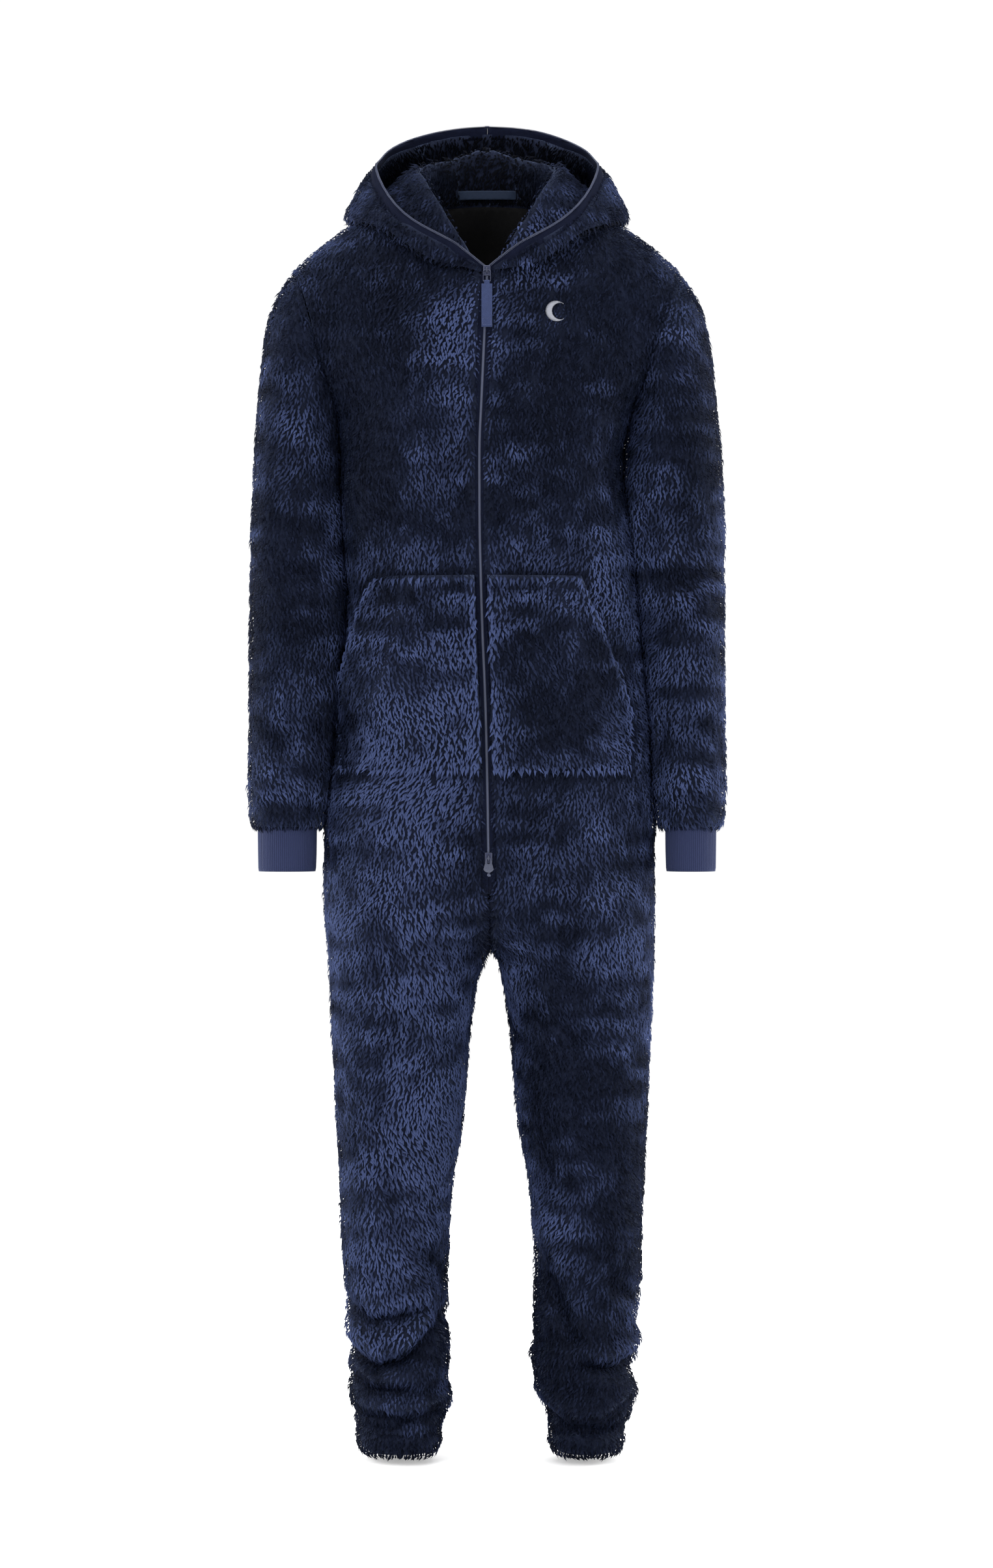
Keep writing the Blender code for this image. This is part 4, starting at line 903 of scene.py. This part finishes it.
def wear_group():
    """Paint worn thin along edges: a mask from how sharply the surface turns."""
    found = bpy.data.node_groups.get("Edge wear")
    if found:
        return found
    tree, given, result = socketed_group(
        "Edge wear",
        (("Amount", "NodeSocketFloat", 0.4),),
        (("Mask", "NodeSocketFloat"), ("Grain", "NodeSocketFloat")),
    )
    shape = tree.nodes.new("ShaderNodeNewGeometry")
    sharp = tree.nodes.new("ShaderNodeMapRange")
    sharp.inputs["From Min"].default_value = 0.52
    sharp.inputs["From Max"].default_value = 0.62
    tree.links.new(shape.outputs["Pointiness"], sharp.inputs["Value"])
    grain = noise(tree, 900, 3.0)
    worn_edge_and_lit_rib = sum_of(tree, "MULTIPLY", sharp.outputs[0], grain)
    tree.links.new(sum_of(tree, "MULTIPLY", worn_edge_and_lit_rib, given.outputs["Amount"]), result.inputs["Mask"])
    tree.links.new(grain, result.inputs["Grain"])
    return tree


def painted_material(name, colour, roughness, metallic, wear, coat=0.25, gloss=0.5):
    """Painted or moulded zip parts, a little worn along their edges."""
    if name in bpy.data.materials:
        return bpy.data.materials[name]
    material, tree, shader = shaded(name, roughness, metallic=metallic, coat=coat, gloss=gloss)
    group = placed_group(tree, wear_group())
    group.inputs["Amount"].default_value = wear
    bare = (0.30, 0.32, 0.36, 1)
    tree.links.new(mixed(tree, group.outputs["Mask"], (*colour, 1), bare), shader.inputs["Base Color"])
    rough = sum_of(tree, "ADD", sum_of(tree, "MULTIPLY", group.outputs["Grain"], 0.2), roughness - 0.1)
    tree.links.new(rough, shader.inputs["Roughness"])
    bumped(tree, shader, group.outputs["Grain"], 0.15, 0.0002)
    return material


# ---- Settings ------------------------------------------------------------------------------------------------

class FleeceSettings(bpy.types.PropertyGroup):
    """Sizes and colours of the fleece."""

    tuft_length: FloatProperty(
        name="Tuft length", description="How long a tuft of the pile is", default=0.0092, min=0.002, unit="LENGTH")
    tuft_width: FloatProperty(
        name="Tuft width", description="How wide a tuft is at its fullest", default=0.0029, min=0.001, unit="LENGTH")
    tuft_spacing: FloatProperty(
        name="Tuft spacing", description="How far apart the tufts grow", default=0.0038, min=0.003, unit="LENGTH")
    pile_lift: FloatProperty(
        name="Pile height", description="How high the pile stands off the cloth", default=0.0058, min=0.001,
        unit="LENGTH")
    nap_swirl: FloatProperty(
        name="Nap swirl", description="How far the nap turns aside from straight down", default=24.0, min=0, max=90)
    sheen: FloatProperty(
        name="Sheen", description="How brightly the pile's edges catch light", default=0.012, min=0, max=1)
    light_colour: FloatVectorProperty(
        name="Light nap", description="Colour where the nap faces the light", default=(0.050, 0.069, 0.160), size=3,
        subtype="COLOR", min=0, max=1)
    dark_colour: FloatVectorProperty(
        name="Dark nap", description="Colour where the nap turns away", default=(0.0012, 0.0020, 0.0055), size=3,
        subtype="COLOR", min=0, max=1)


class KnitSettings(bpy.types.PropertyGroup):
    """Sizes and colour of the rib cuffs."""

    ribs: IntProperty(name="Ribs", description="How many ribs go round a cuff", default=98, min=12)
    rib_depth: FloatProperty(
        name="Rib depth", description="How deep the grooves between ribs are", default=0.0007, min=0, unit="LENGTH")
    rib_colour: FloatVectorProperty(
        name="Rib colour", description="Colour of the rib knit", default=(0.013, 0.019, 0.058), size=3,
        subtype="COLOR", min=0, max=1)


class ZipSettings(bpy.types.PropertyGroup):
    """Sizes and colours of the zip and its pulls."""

    tooth_pitch: FloatProperty(
        name="Tooth pitch", description="How far apart the teeth stand", default=0.0017, min=0.0008, unit="LENGTH")
    tooth_colour: FloatVectorProperty(
        name="Tooth colour", description="Colour of the teeth", default=(0.030, 0.038, 0.080), size=3,
        subtype="COLOR", min=0, max=1)
    tape_colour: FloatVectorProperty(
        name="Tape colour", description="Colour of the zip's tapes", default=(0.0035, 0.005, 0.014), size=3,
        subtype="COLOR", min=0, max=1)
    metal_colour: FloatVectorProperty(
        name="Slider colour", description="Colour of the painted sliders and pulls",
        default=(0.020, 0.025, 0.056), size=3, subtype="COLOR", min=0, max=1)


class TrimSettings(bpy.types.PropertyGroup):
    """Colours of the small trims."""

    webbing_colour: FloatVectorProperty(
        name="Webbing colour", description="Colour of the pull tab", default=(0.018, 0.028, 0.078), size=3,
        subtype="COLOR", min=0, max=1)
    loop_colour: FloatVectorProperty(
        name="Loop colour", description="Colour of the hanger loop", default=(0.005, 0.012, 0.030), size=3,
        subtype="COLOR", min=0, max=1)
    facing_colour: FloatVectorProperty(
        name="Facing colour", description="Colour of the neck facing", default=(0.0015, 0.0015, 0.002), size=3,
        subtype="COLOR", min=0, max=1)
    thread_colour: FloatVectorProperty(
        name="Thread colour", description="Colour of the stitched motif", default=(0.25, 0.26, 0.30), size=3,
        subtype="COLOR", min=0, max=1)
    motif_size: FloatProperty(
        name="Motif size", description="How tall the stitched crescent is", default=0.026, min=0.005, unit="LENGTH")


class StageSettings(bpy.types.PropertyGroup):
    """The floor, the lights and the camera."""

    distance: FloatProperty(
        name="Camera distance", description="How far the camera stands in front", default=5.5, min=1, unit="LENGTH")
    view_height: FloatProperty(
        name="View height", description="How much of the scene's height the camera sees", default=1.926, min=0.5,
        unit="LENGTH")
    light: FloatProperty(name="Light", description="Strength of the studio lights", default=1.0, min=0, max=5)


# ---- Operators -----------------------------------------------------------------------------------------------

def pocket_cover():
    """Tells whether a place on the body lies under a pocket."""
    points, faces = [], []
    for side in SIDES:
        some, corners, _ = mesh_arrays(frame["nodes"][f"pocket_{side}"].data)
        faces += (corners + sum(len(p) for p in points)).tolist()
        points.append(some)
    tree = BVHTree.FromPolygons(np.concatenate(points).tolist(), faces)
    low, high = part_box("pocket_left")

    def hidden(place, out):
        if not low.z + 0.006 < place.z < high.z - 0.004 or out.y > 0.2:
            return False
        near = tree.ray_cast(place + out * 0.0002, out, 0.03)[3]
        return near is not None

    return hidden


class JUMPSUIT_OT_fleece(bpy.types.Operator):
    """Builds the fleece panels, the sleeves, the hood, the pockets and the leg hems, each with its pile"""

    bl_idname = "jumpsuit.fleece"
    bl_label = "Fleece panels and pile"

    def execute(self, context):
        settings = context.scene.jumpsuit_fleece
        pile, backing = pile_material(settings), backing_material(settings)
        covered = pocket_cover()
        for node, cut in CUTS.items():
            ride = Ride(GARMENT, "pile fleece")
            thing, points, corners, kinds = cloth_shell(node, cut, 2, backing, ride)
            spacing = settings.tuft_spacing * (1.08 if node.startswith("back") else 1.0)
            hidden = covered if node.startswith("front") else None
            grown = pile_on(node, points, corners, kinds, spacing, settings, pile, hidden)
        return {"FINISHED"}


def trim_shell(node, levels, material, slot):
    """A woven trim's thin cloth."""
    cut = TRIMS[node]
    thing, points, corners, kinds = cloth_shell(node, cut, levels, material, Ride(GARMENT, slot))
    return thing, points, corners, kinds


class JUMPSUIT_OT_cuffs(bpy.types.Operator):
    """Knits the two rib cuffs at the sleeves' ends"""

    bl_idname = "jumpsuit.cuffs"
    bl_label = "Rib cuffs"

    def execute(self, context):
        settings = context.scene.jumpsuit_knit
        material = knit_material(settings)
        for side in SIDES:
            node = f"sleeve_cuff_{side}"
            cut = TRIMS[node]
            points, corners, kinds = mesh_arrays(subdivided(skins_of(node, cut.wall), node, 2))
            tree = BVHTree.FromPolygons(points.tolist(), corners[kinds == OUTER].tolist())
            low, high = points.min(axis=0), points.max(axis=0)
            rows, columns = 14, settings.ribs * 4
            heights = np.linspace(high[2] - 0.0008, low[2] + 0.0004, rows)
            turns = np.linspace(0, 2 * pi, columns, endpoint=False)
            ribs = np.abs(np.sin(turns * settings.ribs / 2)) ** 0.5
            grids = []
            for height in heights:
                near = points[np.abs(points[:, 2] - height) < 0.008]
                middle = Vector(((near[:, 0].min() + near[:, 0].max()) / 2, (near[:, 1].min() + near[:, 1].max()) / 2,
                                 height))
                row = []
                for turn in turns:
                    way = Vector((cos(turn), sin(turn), 0))
                    reach = tree.ray_cast(middle, way, 0.1)[3]
                    if reach is None:
                        reach = (tree.find_nearest(middle + way * 0.035)[0] - middle).xy.length
                    row.append((reach, *middle, *way))
                grids.append(row)
            grid = np.array(grids)
            reach, middle, way = grid[:, :, 0], grid[:, :, 1:4], grid[:, :, 4:7]
            reach = (np.roll(reach, 1, axis=1) + 2 * reach + np.roll(reach, -1, axis=1)) / 4
            seam = 1 - np.exp(-((turns - 1.5 * pi - SIDES[side] * 0.9) / 0.02) ** 2)
            depth = settings.rib_depth * (1 - ribs * seam)
            outer = middle + way * (reach - depth[None])[:, :, None]
            inner = middle + way * (reach - cut.wall - settings.rib_depth * ribs[None])[:, :, None]
            outer[-1] = middle[-1] + way[-1] * (reach[-1] - 0.0005)[:, None]
            skin = np.concatenate([outer, inner[::-1]]).reshape(-1, 3)
            loops = 2 * rows
            i, j = np.meshgrid(np.arange(loops), np.arange(columns), indexing="ij")
            k, m = (i + 1) % loops, (j + 1) % columns
            faces = np.stack([i * columns + j, k * columns + j, k * columns + m, i * columns + m], axis=-1)
            mesh = mesh_of(f"{node}_knit", skin, faces.reshape(-1, 4))
            high_rib = np.tile(ribs * seam, loops).astype(np.float32)
            mesh.attributes.new("rib", "FLOAT", "POINT").data.foreach_set("value", high_rib)
            knit = made(f"{node}_knit", mesh, material, Ride(GARMENT, "rib knit"))
            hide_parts(node)
        return {"FINISHED"}


def long_sides(points, corners):
    """The two long borders of a strip's skin, as ordered runs of points."""
    sides = np.sort(np.concatenate([corners[:, [0, 1]], corners[:, [1, 2]], corners[:, [2, 0]]]), axis=1)
    once, count = np.unique(sides, axis=0, return_counts=True)
    beside = {}
    for a, b in once[count == 1]:
        beside.setdefault(a, []).append(b)
        beside.setdefault(b, []).append(a)
    start = min(beside)
    loop, before, here = [start], None, start
    while True:
        after = next(v for v in beside[here] if v != before)
        if after == start:
            break
        loop.append(after)
        before, here = here, after
    run = points[loop]
    ahead, behind = unit(np.roll(run, -1, axis=0) - run), unit(run - np.roll(run, 1, axis=0))
    sharp = sorted(np.argsort((ahead * behind).sum(axis=1))[:4])
    runs = []
    for first, last in zip(sharp, sharp[1:] + [sharp[0] + len(loop)]):
        runs.append(np.array([loop[i % len(loop)] for i in range(first, last + 1)]))
    runs.sort(key=len, reverse=True)
    return runs[:2]


def evenly(run, step, start=0.0):
    """Places every step along a run of points, as the index before each and its share to the next."""
    lengths = np.linalg.norm(np.diff(run, axis=0), axis=1)
    along = np.concatenate([[0], np.cumsum(lengths)])
    marks = np.arange(start, along[-1], step)
    index = np.clip(np.searchsorted(along, marks, side="right") - 1, 0, len(run) - 2)
    return index, (marks - along[index]) / np.maximum(lengths[index], 1e-9)


def tooth_shape(reach, back, wide, tall):
    """A coil tooth: X across the tape to the chain, Y along the tape, Z out of it."""
    outline = [(-back, -wide * 0.32), (-back, wide * 0.32), (reach * 0.35, wide * 0.32), (reach, wide * 0.5),
               (reach, -wide * 0.5), (reach * 0.35, -wide * 0.32)]
    low = [(x, y, -tall * 0.35) for x, y in outline]
    high = [(x * 0.86, y * 0.72, tall * 0.65) for x, y in outline]
    faces = [(0, 5, 4), (0, 4, 3), (0, 3, 2), (0, 2, 1), (6, 7, 8), (6, 8, 9), (6, 9, 10), (6, 10, 11)]
    for i in range(6):
        k = (i + 1) % 6
        faces += [(i, k, 6 + k), (i, 6 + k, 6 + i)]
    return np.array(low + high), np.array(faces)[:, ::-1]


class JUMPSUIT_OT_zip(bpy.types.Operator):
    """Builds the zip's tapes and its teeth, closed down the front and open round the hood"""

    bl_idname = "jumpsuit.zip"
    bl_label = "Zip"

    def tuck(self, thing, points, free):
        """Widens a tape's sewn side under the fleece's edge, and its foot under the join below the zip."""
        tree = KDTree(len(free))
        for i, k in enumerate(free):
            tree.insert(points[k], i)
        tree.balance()
        away = points - np.array([tree.find(point)[0] for point in points])
        reach = np.linalg.norm(away, axis=1)
        moved = points + away * (0.75 * ramp(reach, 0.001, 0.004))[:, None]
        foot = points[:, 2].min()
        moved[:, 2] -= TAPE_FOOT * ramp(points[:, 2], foot + 0.012, foot)
        ends = (points[:, 2] > 0) & (np.abs(points[:, 0]) < 0.0012)
        moved[ends, 0] = np.sign(points[ends, 0]) * 0.00005
        thing.data.vertices.foreach_set("co", moved.astype(np.float32).ravel())
        thing.data.update()

    def execute(self, context):
        settings = context.scene.jumpsuit_zip
        tape = woven_material("Woven zip tape", settings.tape_colour, 0.0005, 0.85, 0.02, 0.05)
        coil = painted_material("Moulded teeth", settings.tooth_colour, 0.45, 0.0, 0.2, 0.04, 0.25)
        for side, sign in SIDES.items():
            thing, points, corners, kinds = trim_shell(f"zip_tape_{side}", 2, tape, "zip tape")
            skin = corners[kinds == OUTER]
            normals = skin_normals(points, skin)
            runs = long_sides(points, skin)
            chest = [run[points[run][:, 2] < -0.08] for run in runs]
            gaps = [
                np.abs(points[run][:, 0] - zip_centre(points[run][:, 2] + HEM_DEPTH)).mean() for run in chest
            ]
            free, sewn = (runs[0], runs[1]) if gaps[0] < gaps[1] else (runs[1], runs[0])
            if points[free[0]][2] > points[free[-1]][2]:
                free = free[::-1]
            self.tuck(thing, points, free)
            start = settings.tooth_pitch * (0.25 if sign > 0 else 0.75)
            index, share = evenly(points[free], settings.tooth_pitch, start)
            share = share[:, None]
            here, after = free[index], free[index + 1]
            place = points[here] * (1 - share) + points[after] * share
            out = unit(normals[here] * (1 - share) + normals[after] * share)
            along = unit(points[after] - points[here])
            across = unit(np.cross(along, out))
            nearest = [np.argmin(np.linalg.norm(points[sewn] - p, axis=1)) for p in place]
            middle = points[sewn][nearest] - place
            across = across * np.where((across * middle).sum(axis=1) > 0, -1, 1)[:, None]
            out = unit(np.cross(across, along))
            toward = np.where((out * normals[here]).sum(axis=1) > 0, 1, -1)[:, None]
            along = along * toward
            out = out * toward
            turned = np.stack([across, along, out, place + out * 0.0003], axis=2)
            points4 = np.zeros((len(place), 4, 4))
            points4[:, :3, :4] = turned
            points4[:, 3, 3] = 1
            shape, faces = tooth_shape(0.0011, 0.0016, settings.tooth_pitch * 0.72, 0.0015)
            all_points, all_faces = repeated(shape, faces, points4)
            made(
                f"zip_teeth_{side}", mesh_of(f"zip_teeth_{side}", all_points, all_faces), coil,
                Ride(GARMENT, "painted metal"), smooth=False,
            )
            stop_shape, stop_faces = tooth_shape(0.0012, 0.0022, 0.0042, 0.0022)
            ends, end_faces = repeated(stop_shape, stop_faces, points4[[0, -1]])
            made(
                f"zip_stops_{side}", mesh_of(f"zip_stops_{side}", ends, end_faces), coil,
                Ride(GARMENT, "painted metal"), smooth=False,
            )
        metal = painted_material("Painted metal", settings.metal_colour, 0.38, 0.55, 0.3, 0.1)
        for node in ("slider_top", "slider_bottom", "puller_top", "puller_bottom"):
            mesh = frame["nodes"][node].data
            mesh.materials.clear()
            mesh.materials.append(metal)
        return {"FINISHED"}


def thread_shape(length, thick):
    """A short stitch: X along it, Z up, fullest in its middle."""
    rings = []
    for share, full in ((-0.5, 0.35), (-0.3, 0.9), (0.0, 1.0), (0.3, 0.9), (0.5, 0.35)):
        for turn in range(6):
            angle = 2 * pi * turn / 6
            arch = 0.22 * thick * (1 - (2 * share) ** 2)
            rings.append((share * length, cos(angle) * thick / 2 * full, sin(angle) * thick / 2 * full + arch))
    faces = [(0, 2, 1), (0, 3, 2), (0, 4, 3), (0, 5, 4)]
    faces += [(24, 25, 26), (24, 26, 27), (24, 27, 28), (24, 28, 29)]
    for ring in range(4):
        for turn in range(6):
            a, b = ring * 6 + turn, ring * 6 + (turn + 1) % 6
            faces += [(a, b, b + 6), (a, b + 6, a + 6)]
    return np.array(rings), np.array(faces)


def thread_material(name, colour):
    """Twisted sewing thread."""
    if name in bpy.data.materials:
        return bpy.data.materials[name]
    material, tree, shader = shaded(name, 0.42, 0.3, 0.3)
    twist = noise(tree, 1500, 2.0)
    low = tuple(0.62 * value for value in colour)
    high = tuple(min(1.0, 1.25 * value) for value in colour)
    tree.links.new(mixed(tree, twist, (*low, 1), (*high, 1)), shader.inputs["Base Color"])
    bumped(tree, shader, twist, 0.4, 0.0002)
    return material


class JUMPSUIT_OT_tab(bpy.types.Operator):
    """Builds the webbing tab on the top pull, with its stitching"""

    bl_idname = "jumpsuit.tab"
    bl_label = "Webbing pull tab"

    def execute(self, context):
        settings = context.scene.jumpsuit_trim
        webbing = woven_material("Pull webbing", settings.webbing_colour, 0.0009)
        thread = thread_material("Tab thread", tuple(1.5 * value for value in settings.webbing_colour))
        points, corners, _ = mesh_arrays(frame["nodes"]["pull_tab"].data)
        _, first, index = np.unique(
            np.round(points * 1e6).astype(np.int64), axis=0, return_index=True, return_inverse=True
        )
        points, corners = points[first], index.reshape(-1)[corners]
        work = bmesh.new()
        verts = [work.verts.new(point) for point in points]
        for a, b, c in corners:
            if len({a, b, c}) == 3:
                work.faces.new((verts[a], verts[b], verts[c]))
        bmesh.ops.dissolve_limit(work, angle_limit=radians(2), verts=work.verts, edges=work.edges)
        sharp = [edge for edge in work.edges if edge.calc_face_angle(0) > radians(50)]
        bmesh.ops.bevel(work, geom=sharp, offset=0.0004, segments=2, affect="EDGES", clamp_overlap=True)
        bmesh.ops.triangulate(work, faces=work.faces)
        mesh = bpy.data.meshes.new("pull_tab_webbing")
        work.to_mesh(mesh)
        work.free()
        ride = Ride("top_pull", "webbing")
        tab = made("pull_tab_webbing", mesh, webbing, ride, smooth=False)
        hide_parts("pull_tab")
        middle = points.mean(axis=0)
        low, high = points[points[:, 2].argmin()], points[points[:, 2].argmax()]
        down = unit((low - high) * np.array((0, 1, 1)))
        out = unit(np.cross(np.array((1.0, 0, 0)), down))
        out = -out if out[1] > 0 else out
        right = np.cross(down, out)
        spots = (points - middle) @ np.stack([right, down, out], axis=1)
        half, foot, face = spots.max(axis=0)
        places = []
        pitch = 0.0021
        for x in np.arange(-half + 0.0018, half - 0.0012, pitch):
            for y in (foot - 0.0022, foot - 0.0105):
                places.append((x, y, 0))
        for y in np.arange(foot - 0.0095, foot - 0.0030, pitch):
            for x in (-half + 0.0016, half - 0.0016):
                places.append((x, y, 1))
        matrices = []
        for x, y, upright in places:
            for sheet in (1, -1):
                ahead = down if upright else right
                aside = np.cross(out * sheet, ahead)
                spot = middle + right * x + down * y + out * sheet * face
                matrix = np.eye(4)
                matrix[:3, 0], matrix[:3, 1], matrix[:3, 2], matrix[:3, 3] = ahead, aside, out * sheet, spot
                matrices.append(matrix)
        shape, faces = thread_shape(0.0016, 0.0005)
        all_points, all_faces = repeated(shape, faces, matrices)
        made("pull_tab_stitches", mesh_of("pull_tab_stitches", all_points, all_faces), thread, ride)
        return {"FINISHED"}


class JUMPSUIT_OT_neck(bpy.types.Operator):
    """Builds the facing inside the back neck and the hanger loop over it"""

    bl_idname = "jumpsuit.neck"
    bl_label = "Neck facing and hanger loop"

    def execute(self, context):
        settings = context.scene.jumpsuit_trim
        lining = woven_material("Facing twill", settings.facing_colour, 0.0007, 0.85, 0.05)
        loop = woven_material("Loop tape", settings.loop_colour, 0.0008)
        trim_shell("neck_facing", 2, lining, "neck facing")
        trim_shell("hanger_loop", 3, loop, "webbing")
        return {"FINISHED"}


class JUMPSUIT_OT_motif(bpy.types.Operator):
    """Stitches a small crescent on the wearer's left chest"""

    bl_idname = "jumpsuit.motif"
    bl_label = "Stitched crescent"

    def execute(self, context):
        settings = context.scene.jumpsuit_trim
        thread = thread_material("Motif thread", settings.thread_colour)
        points, corners, _ = mesh_arrays(bpy.data.objects["front_left_cloth"].data)
        tree = BVHTree.FromPolygons(points.tolist(), corners.tolist())
        start = Vector((MOTIF_PLACE[0], -0.5, MOTIF_PLACE[1] - HEM_DEPTH))
        centre, out, _, _ = tree.ray_cast(start, Vector((0, 1, 0)))
        if centre is None:
            raise RuntimeError("the motif's place isn't on the front")
        right = Vector((1, 0, 0))
        right = (right - right.dot(out) * out).normalized()
        up = out.cross(right)
        up = -up if up.z < 0 else up
        big, small, shift = settings.motif_size / 2, settings.motif_size * 0.40, settings.motif_size * 0.20
        matrices = []
        for turn in np.linspace(radians(48), radians(312), 58):
            ahead = np.array((cos(turn), sin(turn)))
            outer = ahead * big
            # where the same ray leaves the smaller circle that bites into the crescent
            b = ahead[0] * shift
            inner_reach = b + sqrt(max(b * b - shift * shift + small * small, 0))
            inner = ahead * min(inner_reach, big - 0.0004)
            spot = (outer + inner) / 2
            length = max(np.linalg.norm(outer - inner), 0.0008)
            place = centre + right * spot[0] + up * spot[1] + out * 0.0052
            way = (right * ahead[0] + up * ahead[1]).normalized()
            aside = out.cross(way)
            matrix = np.eye(4)
            matrix[:3, 0], matrix[:3, 1], matrix[:3, 2] = np.array(way) * length, aside, out
            matrix[:3, 3] = place
            matrices.append(matrix)
        shape, faces = thread_shape(1.0, 0.00085)
        all_points, all_faces = repeated(shape, faces, matrices)
        made(
            "chest_crescent", mesh_of("chest_crescent", all_points, all_faces), thread, Ride(GARMENT, "webbing")
        )
        return {"FINISHED"}


class JUMPSUIT_OT_stage(bpy.types.Operator):
    """Builds the pale floor, the studio lights and the camera"""

    bl_idname = "jumpsuit.stage"
    bl_label = "Floor, lights and camera"

    def execute(self, context):
        settings = context.scene.jumpsuit_stage
        low, high = (Vector(corner) for corner in CAD_BOX)
        floor_height, reach = low.z - 0.012, 30.0
        corners = [(x, y, floor_height) for y in (-reach, reach) for x in (-reach, reach)]
        mesh = mesh_of("Studio floor", corners, [(0, 1, 3, 2)])
        material, tree, shader = shaded("Pale paper", 0.9)
        grain = noise(tree, 40, 2.0)
        tree.links.new(mixed(tree, grain, (0.90, 0.90, 0.90, 1), (0.93, 0.93, 0.93, 1)), shader.inputs["Base Color"])
        # The paper and the room behind it both look white, so that no horizon shows
        ambient = 0.75 * settings.light
        shader.inputs["Emission Color"].default_value = (1, 1, 1, 1)
        seen = tree.nodes.new("ShaderNodeLightPath").outputs["Is Camera Ray"]
        tree.links.new(sum_of(tree, "MULTIPLY", seen, 0.34), shader.inputs["Emission Strength"])
        mesh.materials.append(material)
        floor = bpy.data.objects.new("Studio floor", mesh)
        context.scene.collection.objects.link(floor)
        world = bpy.data.worlds.new("Soft studio")
        world.use_nodes = True
        room = world.node_tree
        sky = room.nodes["Background"]
        sky.inputs["Color"].default_value = (1, 1, 1, 1)
        seen = room.nodes.new("ShaderNodeLightPath").outputs["Is Camera Ray"]
        brightness = sum_of(room, "ADD", sum_of(room, "MULTIPLY", seen, 1.02 - ambient), ambient)
        room.links.new(brightness, sky.inputs["Strength"])
        context.scene.world = world
        middle = (low + high) / 2
        for name, place, size, power in (
            ("Key", (-2.2, -3.6, 1.4), 2.4, 95), ("Fill", (2.4, -3.4, 0.3), 2.4, 70),
            ("Left edge", (-2.6, 0.4, 0.4), 1.8, 60), ("Right edge", (2.6, 0.4, 0.4), 1.8, 60),
            ("Top", (0.0, -0.6, 2.6), 2.0, 45), ("Back", (0.6, 3.8, 0.9), 2.4, 80),
        ):
            lamp = bpy.data.lights.new(name, "AREA")
            lamp.size = size
            lamp.energy = power * settings.light
            light = bpy.data.objects.new(name, lamp)
            light.location = middle + Vector(place)
            light.rotation_euler = (middle - light.location).to_track_quat("-Z", "Y").to_euler()
            context.scene.collection.objects.link(light)
        lens = bpy.data.cameras.new("Camera")
        lens.sensor_width = 36
        lens.lens = 18 / (settings.view_height / 2 / settings.distance)
        lens.clip_end = 60
        camera = bpy.data.objects.new("Camera", lens)
        camera.location = (0.0116, -settings.distance, -0.675)
        camera.rotation_euler = (pi / 2, 0, 0)
        context.scene.collection.objects.link(camera)
        context.scene.camera = camera
        context.scene.view_settings.view_transform = "Standard"
        return {"FINISHED"}


class JUMPSUIT_PT_build(bpy.types.Panel):
    """Lists the jumpsuit's pieces in the order in which they are built"""

    bl_idname = "JUMPSUIT_PT_build"
    bl_label = "Fleece jumpsuit"
    bl_space_type = "VIEW_3D"
    bl_region_type = "UI"
    bl_category = "Jumpsuit"

    def draw(self, context):
        for step in STEPS:
            self.layout.operator(step.bl_idname)


STEPS = (
    JUMPSUIT_OT_stage, JUMPSUIT_OT_fleece, JUMPSUIT_OT_cuffs, JUMPSUIT_OT_zip, JUMPSUIT_OT_tab, JUMPSUIT_OT_neck,
    JUMPSUIT_OT_motif,
)
GROUPS = {
    "jumpsuit_fleece": FleeceSettings,
    "jumpsuit_knit": KnitSettings,
    "jumpsuit_zip": ZipSettings,
    "jumpsuit_trim": TrimSettings,
    "jumpsuit_stage": StageSettings,
}


def register():
    for group in GROUPS.values():
        bpy.utils.register_class(group)
    for name, group in GROUPS.items():
        setattr(bpy.types.Scene, name, PointerProperty(type=group))
    for step in (*STEPS, JUMPSUIT_PT_build):
        bpy.utils.register_class(step)


def unregister():
    for step in (*STEPS, JUMPSUIT_PT_build):
        bpy.utils.unregister_class(step)
    for name, group in GROUPS.items():
        delattr(bpy.types.Scene, name)
        bpy.utils.unregister_class(group)


def main():
    for thing in [o for o in bpy.data.objects if o.name in ("Cube", "Light", "Camera")]:
        bpy.data.objects.remove(thing)
    register()
    for step in STEPS:
        category, action = step.bl_idname.split(".")
        getattr(getattr(bpy.ops, category), action)()


if __name__ == "__main__":
    main()
